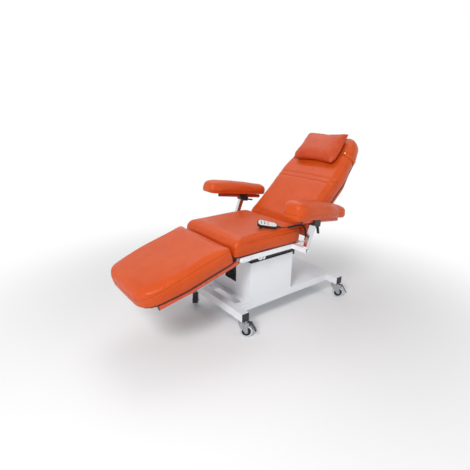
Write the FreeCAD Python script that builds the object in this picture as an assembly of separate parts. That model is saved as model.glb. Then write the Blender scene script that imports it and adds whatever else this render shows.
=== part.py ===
"""Phlebotomy chair: a powered couch on a castered base, leaned back as a patient lies in it.

Millimetres. +X is the sitter's left, +Y runs from the foot end to the head end, +Z is up.
The origin is on the floor, under the middle of the chair's length in this pose.
"""
import FreeCAD, Part
import math
import os

# Clearances and shared small sizes
running_gap = 0.05
hub_shrink = 1.0
face_gap = 0.3
slide_gap = 0.6
overrun = 5.0
pin_radius = 6.0
pin_head_radius = 10.0
pin_head_height = 6.0

# Castered base: two square crossbars, two side rails between them and a tray plate on the rails
crossbar_length = 580.0
crossbar_size = 50.0
crossbar_wall = 2.5
crossbar_top = 168.0
front_crossbar_y = -241.0
rear_crossbar_y = 618.0
base_rail_width = 45.0
base_rail_outer_x = 200.0
base_rail_wall = 2.5
tray_thickness = 3.0
tray_front_y = -168.0
cap_flange = 3.0
cap_plug_length = 18.0
cap_plug_gap = 0.2

# Pedestal cover: a folded box round the lift, open at the top, with a slot at front and rear
cover_half_width = 200.0
cover_front_y = -133.0
cover_rear_y = 217.0
cover_top = 422.0
cover_wall = 2.0
slot_half_width = 57.0
slot_bottom = 252.0

# Lift column and the dark inner shroud that telescopes into the cover
column_width = 140.0
column_depth = 110.0
column_wall = 6.0
column_y = 70.0
column_outer_top = 408.0
column_foot_size = 190.0
column_foot_thickness = 8.0
inner_column_wall = 5.0
inner_column_bottom = 226.0
lift_plate_thickness = 8.0
lift_plate_top = 467.0
shroud_gap = 8.0
shroud_wall = 1.5
shroud_bottom = 230.0
shroud_below_frame = 1.0
shroud_slot_top = 450.0
lift_motor_radius = 34.0
lift_motor_length = 150.0

# Seat frame: square tubes under the seat board
rail_size = 30.0
rail_wall = 2.0
rail_x = 240.0
rail_top = 505.0
rail_front_y = -228.0
rail_rear_y = 234.0
cross_tube_ys = (-213.0, -45.0, 219.0)
carrier_y = 165.0
hook_ys = (-108.0, -82.0)
hook_radius = 9.0
hook_strip = 2.5
hook_width = 14.0
hook_leg = 6.0

# Seat board and cushion
seat_half_width = 270.0
seat_front_y = -302.0
seat_rear_y = 203.0
seat_board_thickness = 12.0
seat_board_inset = 16.0
seat_edge_top = 614.0
seat_crown = 4.0
seat_shoulder = 26.0
seat_front_roll = 48.0

# Leg section, swung about a pin at the front end of the seat rails
leg_hinge_y = -250.0
leg_hinge_z = 490.0
leg_slope = 16.0
leg_start = 54.5
leg_length = 600.0
leg_half_width = 270.0
leg_plan_shares = (
    (0.0, 1.0), (0.58, 1.0), (0.73, 0.965), (0.87, 0.9), (0.93, 0.83), (0.97, 0.73), (1.0, 0.56),
)
leg_cushion_bottom = 20.0
leg_cushion_top = 119.0
leg_crown = 4.0
leg_shoulder = 22.0
leg_board_thickness = 12.0
leg_board_inset = 12.0
leg_tube_radius = 12.5
leg_tube_wall = 2.0
leg_tube_inset = 9.0
leg_tube_taper = 20.0
leg_tube_x = rail_x + rail_size / 2 - leg_tube_inset
leg_tube_foot_x = leg_tube_x - leg_tube_taper
leg_tube_bend_at = 330.0
leg_tube_bend_radius = 300.0
leg_tube_start = 30.0
leg_tube_end = 518.0
leg_cross_at = (190.0, 500.0)
plug_length = 14.0
plug_flange = 4.0

# Back section, swung about a pin at the rear end of the seat rails
back_hinge_y = 252.0
back_hinge_z = 490.0
back_slope = 43.4
back_start = 41.0
back_length = 835.0
back_half_width = 268.0
back_plan_shares = (
    (0.0, 1.0), (0.575, 1.0), (0.63, 0.98), (0.7, 0.935), (0.77, 0.9), (0.815, 0.875),
    (0.875, 0.83), (0.93, 0.77), (0.965, 0.69), (1.0, 0.5),
)
back_cushion_bottom = 10.0
back_cushion_top = 97.0
back_crown = 6.0
back_shoulder = 26.0
back_board_thickness = 12.0
back_board_inset = 12.0
back_tube_radius = 12.5
back_tube_wall = 2.0
back_tube_inset = 13.0
back_tube_taper = 37.0
back_tube_x = rail_x + rail_size / 2 - back_tube_inset
back_tube_head_x = back_tube_x - back_tube_taper
back_tube_bend_at = 470.0
back_tube_bend_radius = 260.0
back_tube_start = 30.0
back_tube_end = 608.0
back_cross_at = (150.0, 360.0, 572.0)

# Hinge plates
ear_thickness = 6.0
ear_radius = 14.0
ear_reach = 80.0
bracket_reach = 60.0

# Head pillow and the elastic strap that holds it on the back
pillow_half_width = 192.0
pillow_start = 572.0
pillow_end = 798.0
pillow_thickness = 74.0
pillow_corner_thickness = 16.0
strap_start = 640.0
strap_end = 690.0
strap_thickness = 2.0
strap_slack = 1.5
pillow_travel_down = 15.0

# Electric actuators: each pivots as far from its hinge on the seat as on the section it moves
leg_lug_along = 190.0
leg_lug_drop = 32.0
leg_anchor_back = 172.0
back_lug_along = 150.0
back_lug_drop = 100.0
back_anchor_ahead = 92.0
barrel_radius = 18.0
barrel_bore_radius = 11.0
rod_radius = 10.0
eye_radius = 14.0
eye_half_width = 13.0
eye_neck = 32.0
cheek_thickness = 6.0
cheek_half_length = 18.0
leg_barrel_length = 222.0
back_barrel_length = 205.0
leg_rod_length = 190.0
back_rod_length = 180.0
motor_radius = 17.0
motor_length = 105.0
motor_offset = 36.0
gearbox_length = 52.0

# Arms: a leaning post slides in a socket; a rail with its pad slides through the clamp on the post
arm_x = 353.0
arm_foot_y = 157.0
arm_foot_z = 490.0
post_lean = 20.8
post_width = 25.0
post_depth = 30.0
post_wall = 2.0
post_to_clamp = 188.0
stem_length = 128.0
arm_raise = {"left": 0.0, "right": 28.0}
arm_forward = {"left": -10.0, "right": 66.0}
arm_side = {"left": 1.0, "right": -1.0}
arm_splay = {"left": 4.0, "right": -4.0}
rail_tilt = 7.5
arm_rail_radius = 12.5
arm_rail_wall = 2.0
arm_rail_front = -132.0
arm_rail_rear = 215.0
arm_spacer_height = 8.0
arm_spacer_at = (-158.0, 150.0)
arm_spacer_length = 34.0
arm_pad_half_length = 252.0
arm_pad_half_width = 80.0
arm_pad_thickness = {"left": 104.0, "right": 82.0}
arm_pad_crown = 6.0
arm_pad_shoulder = 34.0
arm_pad_fall = {"left": 34.0, "right": 12.0}
arm_pad_taper = 20.0
clamp_half_width = 22.0
clamp_half_length = 27.0
clamp_bottom = 27.0
clamp_over = 5.0
lever_pivot_back = 34.0
lever_pivot_drop = 25.0
lever_length = 58.0
lever_hub_radius = 11.0
lever_half_width = 9.0
lever_pin_radius = 5.0
lever_turn = {"left": -68.0, "right": -4.0}

# Hand control that lies on the seat
handset_x = 188.0
handset_y = -8.0
handset_z = 630.4
handset_heading = 54.0
handset_tilt = 10.0
handset_roll = 18.0
handset_length = 120.0
handset_wide = 60.0
handset_narrow = 48.0
handset_thickness = 20.0
hook_place = (-36.0, 2.0)
hook_reach = 20.0
hook_band = 5.0
hook_band_width = 14.0
keypad_thickness = 1.5
keypad_inset = 4.5
key_radius = 4.6
key_height = 4.4
key_gap = 0.25
key_proud = 1.6
key_travel = 1.0
key_pitch_along = 20.0
key_pitch_across = 17.0
keys_centre = -18.0
relief_length = 26.0
relief_base_radius = 6.5
relief_tip_radius = 3.6

# Curly lead: thin straight ends and close curls between them
lead_radius = 2.2
curl_radius = 4.6
curl_pitch = 5.6
curls_from = 40.0
curls_count = 44

# Control box behind the lift, under the rear cross tube
box_x = (70.0, 172.0)
box_y = (223.0, 268.0)
box_height = 87.0
box_z = (rail_top - rail_size - box_height, rail_top - rail_size)
box_corner = 6.0
gland_radius = 9.0
gland_length = 18.0
gland_drop = 42.0

# Swivel casters with a brake pedal
caster_x = 254.0
caster_trail = 30.0
wheel_radius = 40.0
wheel_half_width = 12.5
tyre_inner_radius = 31.5
tyre_round = 4.5
hub_web_half_width = 8.0
hub_boss_radius = 12.0
hub_boss_half_width = 15.2
axle_radius = 5.0
fork_gap_half = 15.8
fork_plate = 3.0
crown_bottom = 88.0
crown_thickness = 4.0
crown_length = (-16.0, 34.0)
housing_radius = 20.0
king_pin_radius = 7.0
king_head_radius = 11.0
king_head_height = 3.0
race_radius = 22.0
race_height = 6.0
stud_radius = 6.0
stud_length = 30.0
pedal_pivot = (40.0, 93.0)
pedal_length = 46.0
pedal_half_width = 17.0
pedal_thickness = 7.0
pedal_drop = 48.0
pedal_knee = (20.0, -4.0)
pedal_pin_radius = 3.0
pedal_hub_radius = 6.0
caster_turn = {"front_left": -40.0, "front_right": -127.0, "rear_left": -40.0, "rear_right": 20.0}


def vec(x, y, z):
    return FreeCAD.Vector(x, y, z)


def block(x, y, z):
    """A box between the two values given on each axis."""
    return Part.makeBox(x[1] - x[0], y[1] - y[0], z[1] - z[0], vec(x[0], y[0], z[0]))


def rod_along(axis, start, length, radius):
    """A round bar from a start point, along a direction."""
    return Part.makeCylinder(radius, length, vec(*start), vec(*axis))


def centred(middle, size):
    return (middle - size / 2, middle + size / 2)


def tube_x(x, y, z, size_y, size_z, wall):
    """A rectangular tube that lies along X, round the given Y and Z centre."""
    outer = block(x, centred(y, size_y), centred(z, size_z))
    inner = block(
        (x[0] - overrun, x[1] + overrun), centred(y, size_y - 2 * wall), centred(z, size_z - 2 * wall)
    )
    return outer.cut(inner)


def tube_y(x, y, z, size_x, size_z, wall):
    """A rectangular tube that lies along Y, round the given X and Z centre."""
    outer = block(centred(x, size_x), y, centred(z, size_z))
    inner = block(
        centred(x, size_x - 2 * wall), (y[0] - overrun, y[1] + overrun), centred(z, size_z - 2 * wall)
    )
    return outer.cut(inner)


def mirrored(shape):
    return shape.mirror(vec(0, 0, 0), vec(1, 0, 0))


def pair(shape):
    """A solid and its mirror image on the other side of the chair."""
    return [shape, mirrored(shape)]


def swung(shape, y, z, angle):
    """A shape drawn about a hinge line at zero, turned about X and set at its hinge."""
    placed = shape.copy()
    placed.rotate(vec(0, 0, 0), vec(1, 0, 0), angle)
    placed.translate(vec(0, y, z))
    return placed


def on_leg(shape):
    return swung(shape, leg_hinge_y, leg_hinge_z, leg_slope)


def on_back(shape):
    return swung(shape, back_hinge_y, back_hinge_z, back_slope)


def prism_z(points, z):
    """A prism on a plan outline of straight edges."""
    outline = [vec(px, py, z[0]) for px, py in points]
    face = Part.Face(Part.makePolygon(outline + [outline[0]]))
    return face.extrude(vec(0, 0, z[1] - z[0]))


def prism_x(points, x):
    """A prism on a side outline of straight edges, given as Y and Z."""
    outline = [vec(x[0], py, pz) for py, pz in points]
    face = Part.Face(Part.makePolygon(outline + [outline[0]]))
    return face.extrude(vec(x[1] - x[0], 0, 0))


def swept(wire, radius):
    """A round bar along a wire."""
    edge = wire.OrderedEdges[0]
    start = edge.valueAt(edge.FirstParameter)
    circle = Part.makeCircle(radius, start, edge.tangentAt(edge.FirstParameter))
    return wire.makePipeShell([Part.Wire([circle])], True, False)


def bent_line(start, corner, end, radius):
    """Two straight runs joined by an arc of the given radius."""
    a = vec(*start)
    p = vec(*corner)
    b = vec(*end)
    back_way = a.sub(p)
    ahead = b.sub(p)
    back_way.normalize()
    ahead.normalize()
    turn = math.pi - back_way.getAngle(ahead)
    reach = radius * math.tan(turn / 2)
    inward = back_way.add(ahead)
    inward.normalize()
    depth = math.hypot(radius, reach) - radius
    into = p.add(back_way * reach)
    out = p.add(ahead * reach)
    arc = Part.Arc(into, p.add(inward * depth), out)
    runs = [Part.LineSegment(a, into), arc, Part.LineSegment(out, b)]
    return Part.Wire([run.toShape() for run in runs])


# Base


def crossbar(y):
    z = crossbar_top - crossbar_size / 2
    bar = tube_x(centred(0, crossbar_length), y, z, crossbar_size, crossbar_size, crossbar_wall)
    for side in (-1, 1):
        hole_start = (side * caster_x, y, crossbar_top - crossbar_size - overrun)
        bar = bar.cut(rod_along((0, 0, 1), hole_start, crossbar_wall + 2 * overrun, stud_radius))
    return bar


def make_base_side_rails():
    top = crossbar_top - tray_thickness
    x = base_rail_outer_x - base_rail_width / 2
    y = (front_crossbar_y + crossbar_size / 2, rear_crossbar_y - crossbar_size / 2)
    rail = tube_y(x, y, top - base_rail_width / 2, base_rail_width, base_rail_width, base_rail_wall)
    return pair(rail)


def make_base_tray():
    y = (tray_front_y, rear_crossbar_y - crossbar_size / 2)
    x = (-base_rail_outer_x, base_rail_outer_x)
    return [block(x, y, (crossbar_top - tray_thickness, crossbar_top))]


def make_end_caps():
    caps = []
    plug = crossbar_size - 2 * crossbar_wall - 2 * cap_plug_gap
    z = crossbar_top - crossbar_size / 2
    for y in (front_crossbar_y, rear_crossbar_y):
        end = crossbar_length / 2
        flange = block((end, end + cap_flange), centred(y, crossbar_size), centred(z, crossbar_size))
        rim = [e for e in flange.Edges if abs(e.CenterOfMass.x - end - cap_flange) < running_gap]
        flange = flange.makeFillet(cap_flange / 2, rim)
        cap = flange.fuse(block((end - cap_plug_length, end), centred(y, plug), centred(z, plug)))
        caps += pair(cap)
    return caps


def box_shell(half_width, y, z, wall, slot, slot_z):
    """Four folded walls, open above and below, with a slot in the front and the rear wall."""
    shell = block((-half_width, half_width), y, z)
    inside = block(
        (wall - half_width, half_width - wall), (y[0] + wall, y[1] - wall), (z[0] - overrun, z[1] + overrun)
    )
    opening = block((-slot, slot), (y[0] - overrun, y[1] + overrun), slot_z)
    return shell.cut(inside).cut(opening)


def make_pedestal_cover():
    y = (cover_front_y, cover_rear_y)
    slot_z = (slot_bottom, cover_top + overrun)
    return [box_shell(cover_half_width, y, (crossbar_top, cover_top), cover_wall, slot_half_width, slot_z)]


def make_lift_shroud():
    y = (cover_front_y + shroud_gap, cover_rear_y - shroud_gap)
    half_width = cover_half_width - shroud_gap
    slot_z = (shroud_bottom - overrun, shroud_slot_top)
    top = rail_top - rail_size - shroud_below_frame
    return [box_shell(half_width, y, (shroud_bottom, top), shroud_wall, slot_half_width, slot_z)]


def make_lift_outer_column():
    foot_top = crossbar_top + column_foot_thickness
    outline = block(centred(0, column_width), centred(column_y, column_depth), (foot_top, column_outer_top))
    bore = block(
        centred(0, column_width - 2 * column_wall),
        centred(column_y, column_depth - 2 * column_wall),
        (foot_top - overrun, column_outer_top + overrun),
    )
    foot_y = centred(column_y, column_foot_size / 1.4)
    foot = block(centred(0, column_foot_size), foot_y, (crossbar_top, foot_top))
    motor_start = (column_width / 2 + lift_motor_radius + slide_gap, column_y, foot_top)
    motor = rod_along((0, 0, 1), motor_start, lift_motor_length, lift_motor_radius)
    drive_box = block(
        (column_width / 2, column_width / 2 + lift_motor_radius * 2),
        centred(column_y, lift_motor_radius * 2),
        (foot_top + lift_motor_length, foot_top + lift_motor_length + lift_motor_radius),
    )
    return [outline.cut(bore).fuse(foot), motor.fuse(drive_box)]


def make_lift_inner_column():
    width = column_width - 2 * column_wall - 2 * slide_gap
    depth = column_depth - 2 * column_wall - 2 * slide_gap
    plate_bottom = lift_plate_top - lift_plate_thickness
    z = (inner_column_bottom, plate_bottom)
    outer = block(centred(0, width), centred(column_y, depth), z)
    bore = block(
        centred(0, width - 2 * inner_column_wall),
        centred(column_y, depth - 2 * inner_column_wall),
        (z[0] - overrun, z[1] + overrun),
    )
    plate_half = cover_half_width - shroud_gap - shroud_wall
    plate_y = (cover_front_y + shroud_gap + shroud_wall, cover_rear_y - shroud_gap - shroud_wall)
    plate = block((-plate_half, plate_half), plate_y, (plate_bottom, lift_plate_top))
    risers = []
    for y in (cross_tube_ys[1], carrier_y):
        riser_z = (lift_plate_top, rail_top - rail_size)
        risers.append(block(centred(0, column_width), centred(y, rail_size), riser_z))
    column = outer.cut(bore).fuse(plate)
    for riser in risers:
        column = column.fuse(riser)
    return [column]


# Seat frame


def make_seat_rails():
    z = rail_top - rail_size / 2
    rail = tube_y(rail_x, (rail_front_y, rail_rear_y), z, rail_size, rail_size, rail_wall)
    hooks = []
    for y in hook_ys:
        low = rail_top - rail_size - hook_leg
        x = centred(rail_x + rail_size / 2 - hook_width / 2, hook_width)
        ring = rod_along((1, 0, 0), (x[0], y, low), hook_width, hook_radius + hook_strip)
        ring = ring.cut(rod_along((1, 0, 0), (x[0] - overrun, y, low), hook_width + 2 * overrun, hook_radius))
        ring = ring.cut(block((x[0] - overrun, x[1] + overrun), centred(y, 4 * hook_radius), (low, rail_top)))
        for side in (-1, 1):
            leg_y = y + side * (hook_radius + hook_strip / 2)
            ring = ring.fuse(block(x, centred(leg_y, hook_strip), (low, rail_top - rail_size)))
        hooks.append(ring)
    return pair(rail) + hooks


def make_seat_cross_tubes():
    z = rail_top - rail_size / 2
    half = rail_x - rail_size / 2
    tubes = [tube_x((-half, half), y, z, rail_size, rail_size, rail_wall) for y in cross_tube_ys]
    tubes.append(tube_x((-half, half), carrier_y, z, rail_size, rail_size, rail_wall))
    stub_end = arm_x + post_width / 2
    stub = tube_x((rail_x + rail_size / 2, stub_end), carrier_y, z, rail_size, rail_size, rail_wall)
    return tubes + pair(stub) + [arm_stem("left"), arm_stem("right")]


def make_seat_board():
    half = seat_half_width - seat_board_inset
    y = (seat_front_y + seat_board_inset, seat_rear_y - seat_board_inset)
    return [block((-half, half), y, (rail_top, rail_top + seat_board_thickness))]


def pad_section(along, half_width, bottom, top, crown, shoulder):
    """A cross-section of a stuffed pad: flat below, bulged sides, round shoulders and a crowned top."""
    tuck = shoulder / 4
    low = vec(half_width - tuck, along, bottom)
    side = vec(half_width, along, (bottom + top - shoulder) / 2)
    high = vec(half_width - tuck / 3, along, top - shoulder)
    turn = shoulder * (1 - math.sqrt(0.5))
    corner = vec(half_width - turn - tuck / 3, along, top - turn)
    inner = vec(half_width - shoulder - tuck / 3, along, top)
    middle = vec(0, along, top + crown)

    def flip(point):
        return vec(-point.x, point.y, point.z)

    edges = [
        Part.LineSegment(flip(low), low),
        Part.Arc(low, side, high),
        Part.Arc(high, corner, inner),
        Part.Arc(inner, middle, flip(inner)),
        Part.Arc(flip(inner), flip(corner), flip(high)),
        Part.Arc(flip(high), flip(side), flip(low)),
    ]
    return Part.Wire([edge.toShape() for edge in edges])


def pad(sections):
    """A stuffed pad lofted through its cross-sections."""
    return Part.makeLoft([pad_section(*values) for values in sections], True, False)


def make_seat_cushion():
    bottom = rail_top + seat_board_thickness
    w = seat_half_width
    top = seat_edge_top
    r = seat_shoulder
    roll = seat_front_roll
    half_roll = roll * (1 - math.sqrt(0.5))
    sections = [
        (seat_rear_y, w - r / 3, bottom, top - r / 2, seat_crown * 0.7, r),
        (seat_rear_y - r / 3, w - r / 12, bottom, top - r / 8, seat_crown * 0.9, r),
        (seat_rear_y - r, w, bottom, top, seat_crown, r),
        (seat_front_y / 4, w - r / 10, bottom, top, seat_crown, r),
        (seat_front_y + 1.4 * roll, w, bottom, top, seat_crown * 0.9, r),
        (seat_front_y + half_roll * 1.6, w - r / 10, bottom, top - half_roll * 0.35, seat_crown * 0.6, r),
        (seat_front_y + half_roll * 0.5, w - r / 4, bottom, top - half_roll * 1.3, seat_crown / 3, r * 0.9),
        (seat_front_y, w - r / 2, bottom, top - roll * 0.72, seat_crown * 0.2, r * 0.7),
    ]
    return [pad(sections)]


# Hinges


def ear_plate(x, start, reach, low, high):
    """A plate with a round end on the hinge line, bored for the pin, that runs along its tube."""
    disc = rod_along((1, 0, 0), (x[0], 0, 0), x[1] - x[0], ear_radius)
    web = block(x, (min(start, reach), max(start, reach)), (low, high))
    bore = rod_along((1, 0, 0), (x[0] - overrun, 0, 0), x[1] - x[0] + 2 * overrun, pin_radius + running_gap)
    return disc.fuse(web).cut(bore)


def hinge_pin(x, y, z, head_outside):
    """A shouldered pin along X with a head at one end and a nut at the other."""
    shank = rod_along((1, 0, 0), (x[0], y, z), x[1] - x[0], pin_radius)
    head = rod_along((1, 0, 0), (x[1], y, z), pin_head_height, pin_head_radius)
    nut = rod_along((1, 0, 0), (x[0] - pin_head_height, y, z), pin_head_height, pin_head_radius)
    return shank.fuse(head).fuse(nut) if head_outside else shank.fuse(nut)


def bracket_plate(x, hinge_y, hinge_z, toward):
    """A plate welded to a seat rail that carries a hinge pin past the rail's end."""
    half = rail_size / 2 - 1.5 * running_gap
    end = hinge_y + toward * bracket_reach
    plate = block(x, (min(hinge_y, end), max(hinge_y, end)), centred(hinge_z, 2 * half))
    plate = plate.fuse(rod_along((1, 0, 0), (x[0], hinge_y, hinge_z), x[1] - x[0], half))
    bore_start = (x[0] - overrun, hinge_y, hinge_z)
    return plate.cut(rod_along((1, 0, 0), bore_start, 2 * overrun + x[1] - x[0], pin_radius))


def make_leg_hinge_brackets():
    face = rail_x + rail_size / 2
    x = (face, face + ear_thickness)
    plate = bracket_plate(x, leg_hinge_y, leg_hinge_z, 1)
    pin_x = (face - slide_gap - ear_thickness - face_gap, x[1])
    pin = hinge_pin(pin_x, leg_hinge_y, leg_hinge_z, True)
    return pair(plate) + pair(pin)


def make_back_hinge_brackets():
    face = rail_x + rail_size / 2
    x = (face, face + ear_thickness)
    plate = bracket_plate(x, back_hinge_y, back_hinge_z, -1)
    pin_x = (face - slide_gap - ear_thickness - face_gap, x[1])
    pin = hinge_pin(pin_x, back_hinge_y, back_hinge_z, True)
    return pair(plate) + pair(pin)


# Leg section


def leg_tube_axis():
    return leg_cushion_bottom - leg_board_thickness - leg_tube_radius


def leg_tube_x_at(along):
    """Where a leg tube's middle lies across the chair, at a distance from the hinge."""
    share = max(0.0, (along - leg_tube_bend_at) / (leg_tube_end - leg_tube_bend_at))
    return leg_tube_x + (leg_tube_foot_x - leg_tube_x) * share


def leg_tube_line():
    h = leg_tube_axis()
    root = (leg_tube_x, -leg_tube_start, h)
    corner = (leg_tube_x, -leg_tube_bend_at, h)
    foot = (leg_tube_foot_x, -leg_tube_end, h)
    return root, corner, foot, bent_line(root, corner, foot, leg_tube_bend_radius)


def coped(bar, outer):
    """A cross tube cut to the round of the side tubes it meets."""
    return bar.cut(outer).cut(mirrored(outer)).Solids[0]


def make_leg_side_tubes():
    h = leg_tube_axis()
    root, corner, foot, line = leg_tube_line()
    bore = swept(line, leg_tube_radius - leg_tube_wall)
    face = rail_x + rail_size / 2
    x = (face - slide_gap - ear_thickness, face - slide_gap)
    ear = ear_plate(x, 0, -ear_reach, h - leg_tube_radius / 2, h + leg_tube_radius / 2)
    arm = swept(line, leg_tube_radius).fuse(ear).cut(bore)
    way = vec(*foot).sub(vec(*corner))
    way.normalize()
    outward = (way.x, way.y, way.z)
    inward = (-way.x, -way.y, -way.z)
    plug = rod_along(outward, foot, plug_flange, leg_tube_radius)
    stem = rod_along(inward, foot, plug_length, leg_tube_radius - leg_tube_wall - running_gap)
    return [on_leg(solid) for solid in pair(arm) + pair(plug.fuse(stem))]


def cheek_pair(y, z, lift, toward):
    """Two cheeks that hold an actuator pin, from the pin up by a lift, on the side away from the actuator."""
    cheeks = []
    for side in (-1, 1):
        near = side * (eye_half_width + slide_gap)
        far = side * (eye_half_width + slide_gap + cheek_thickness)
        x = (min(near, far), max(near, far))
        low = min(0, lift)
        high = max(0, lift)
        away = y - toward * 1.6 * cheek_half_length
        cheek = block(x, (min(y, away), max(y, away)), (z + low, z + high))
        cheek = cheek.fuse(rod_along((1, 0, 0), (x[0], y, z), cheek_thickness, cheek_half_length))
        bore = rod_along((1, 0, 0), (x[0] - overrun, y, z), cheek_thickness + 2 * overrun, pin_radius)
        cheeks.append(cheek.cut(bore))
    return cheeks


def actuator_pin(y, z):
    reach = eye_half_width + slide_gap + cheek_thickness
    shank = rod_along((1, 0, 0), (-reach, y, z), 2 * reach, pin_radius)
    for start in (-reach - face_gap - pin_radius / 2, reach + face_gap):
        shank = shank.fuse(rod_along((1, 0, 0), (start, y, z), pin_radius / 2, 1.3 * pin_radius))
    links = rod_along((1, 0, 0), (-reach - face_gap, y, z), 2 * (reach + face_gap), pin_radius)
    return shank.fuse(links)


def make_leg_cross_tubes():
    h = leg_tube_axis()
    solids = []
    outer = swept(leg_tube_line()[3], leg_tube_radius)
    for along in leg_cross_at:
        half = leg_tube_x_at(along) - leg_tube_wall
        bar = rod_along((1, 0, 0), (-half, -along, h), 2 * half, leg_tube_radius - leg_tube_wall)
        bar = coped(bar, outer)
        solids.append(bar)
    for cheek in cheek_pair(-leg_lug_along, -leg_lug_drop, leg_lug_drop + h, 1):
        solids[0] = solids[0].fuse(cheek)
    solids.append(actuator_pin(-leg_lug_along, -leg_lug_drop))
    return [on_leg(solid) for solid in solids]


def plan_share(shares, share):
    """The width share at a length share, read off a table of the plan."""
    for (a, width_a), (b, width_b) in zip(shares, shares[1:]):
        if share <= b:
            return width_a + (width_b - width_a) * (share - a) / (b - a)
    return shares[-1][1]


def plan_outline(shares, start, length, half, inset):
    """Half the plan of a board that follows its cushion, as points from its root to its far end."""
    points = [(half - inset, start + inset)]
    for share, width in shares:
        if share * length > start + inset:
            points.append((half * width - inset, share * (length - inset)))
    return points


def tapered_board(points, thickness, bottom, toward):
    right = [(x, toward * y) for x, y in points]
    left = [(-x, toward * y) for x, y in reversed(points)]
    return prism_z(right + left, (bottom, bottom + thickness))


def make_leg_board():
    points = plan_outline(leg_plan_shares, leg_start, leg_length, leg_half_width, leg_board_inset)
    low = leg_cushion_bottom - leg_board_thickness
    return [on_leg(tapered_board(points, leg_board_thickness, low, -1))]


def make_leg_cushion():
    b = leg_cushion_bottom
    t = leg_cushion_top
    w = leg_half_width
    c = leg_crown
    r = leg_shoulder
    end = leg_length

    def wide(share):
        return w * plan_share(leg_plan_shares, share)

    sections = [
        (-leg_start, w - r / 2, b, t - r / 2, c * 0.4, r),
        (-leg_start - r / 4, w - r / 8, b, t - r / 6, c * 0.7, r),
        (-leg_start - r, w, b, t, c, r),
        (-end * 0.3, w - r / 9, b, t, c, r),
        (-end * 0.58, wide(0.58), b, t - r / 6, c, r),
        (-end * 0.73, wide(0.73), b, t - r / 3.6, c, r),
        (-end * 0.87, wide(0.87), b, t - r / 2.2, c, r),
        (-end * 0.93, wide(0.93), b, t - r / 1.8, c * 0.8, r),
        (-end * 0.97, wide(0.97), b, t - r / 1.2, c * 0.5, r),
        (-end, wide(1.0), b, t - r * 1.6, c * 0.3, r * 0.8),
    ]
    return [on_leg(pad(sections))]


# Back section


def back_tube_axis():
    return back_cushion_bottom - back_board_thickness - back_tube_radius


def back_tube_x_at(along):
    """Where a back tube's middle lies across the chair, at a distance from the hinge."""
    share = max(0.0, (along - back_tube_bend_at) / (back_tube_end - back_tube_bend_at))
    return back_tube_x + (back_tube_head_x - back_tube_x) * share


def back_tube_line():
    h = back_tube_axis()
    root = (back_tube_x, back_tube_start, h)
    corner = (back_tube_x, back_tube_bend_at, h)
    head = (back_tube_head_x, back_tube_end, h)
    return root, corner, head, bent_line(root, corner, head, back_tube_bend_radius)


def make_back_side_tubes():
    h = back_tube_axis()
    root, corner, head, line = back_tube_line()
    bore = swept(line, back_tube_radius - back_tube_wall)
    face = rail_x + rail_size / 2
    x = (face - slide_gap - ear_thickness, face - slide_gap)
    ear = ear_plate(x, 0, ear_reach, h - back_tube_radius / 2, h + back_tube_radius / 2)
    arm = swept(line, back_tube_radius).fuse(ear).cut(bore)
    way = vec(*head).sub(vec(*corner))
    way.normalize()
    outward = (way.x, way.y, way.z)
    inward = (-way.x, -way.y, -way.z)
    plug = rod_along(outward, head, plug_flange, back_tube_radius)
    stem = rod_along(inward, head, plug_length, back_tube_radius - back_tube_wall - running_gap)
    return [on_back(solid) for solid in pair(arm) + pair(plug.fuse(stem))]


def make_back_cross_tubes():
    h = back_tube_axis()
    solids = []
    outer = swept(back_tube_line()[3], back_tube_radius)
    for along in back_cross_at:
        half = back_tube_x_at(along) - back_tube_wall
        bar = rod_along((1, 0, 0), (-half, along, h), 2 * half, back_tube_radius - back_tube_wall)
        bar = coped(bar, outer)
        solids.append(bar)
    for cheek in cheek_pair(back_lug_along, -back_lug_drop, back_lug_drop + h, -1):
        solids[0] = solids[0].fuse(cheek)
    solids.append(actuator_pin(back_lug_along, -back_lug_drop))
    return [on_back(solid) for solid in solids]


def make_back_board():
    points = plan_outline(back_plan_shares, back_start, back_length, back_half_width, back_board_inset)
    low = back_cushion_bottom - back_board_thickness
    return [on_back(tapered_board(points, back_board_thickness, low, 1))]


def make_back_cushion():
    b = back_cushion_bottom
    t = back_cushion_top
    w = back_half_width
    c = back_crown
    r = back_shoulder
    end = back_length

    def wide(share):
        return w * plan_share(back_plan_shares, share)

    sections = [
        (back_start, w - r * 0.6, b, t - r * 0.8, c * 0.4, r),
        (back_start + r / 3, w - r / 5, b, t - r / 3, c * 0.6, r),
        (back_start + r, w - r / 16, b, t - r / 14, c * 0.9, r),
        (back_start + 3 * r, w, b, t, c, r),
        (end * 0.36, w - r / 9, b, t, c, r),
        (end * 0.575, w - r / 12, b, t, c, r),
        (end * 0.63, wide(0.63), b, t, c, r),
        (end * 0.7, wide(0.7), b, t, c, r),
        (end * 0.815, wide(0.815), b, t, c, r),
        (end * 0.875, wide(0.875), b, t, c, r),
        (end * 0.93, wide(0.93), b, t - r / 12, c, r),
        (end * 0.965, wide(0.965), b, t - r / 3.6, c * 0.8, r),
        (end, wide(1.0), b, t - r, c * 0.4, r * 0.8),
    ]
    return [on_back(pad(sections))]


def pillow_section(across, start, end, thickness):
    """A lens of stuffing seen from the side, on a flat underside."""
    base = back_cushion_top + back_crown + strap_thickness + 3 * face_gap
    rim = thickness / 5
    p = [vec(across, start, base), vec(across, end, base)]
    p += [vec(across, end, base + rim), vec(across, start, base + rim)]
    top = vec(across, (start + end) / 2, base + thickness)
    edges = [
        Part.LineSegment(p[0], p[1]),
        Part.LineSegment(p[1], p[2]),
        Part.Arc(p[2], top, p[3]),
        Part.LineSegment(p[3], p[0]),
    ]
    return Part.Wire([edge.toShape() for edge in edges])


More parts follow.
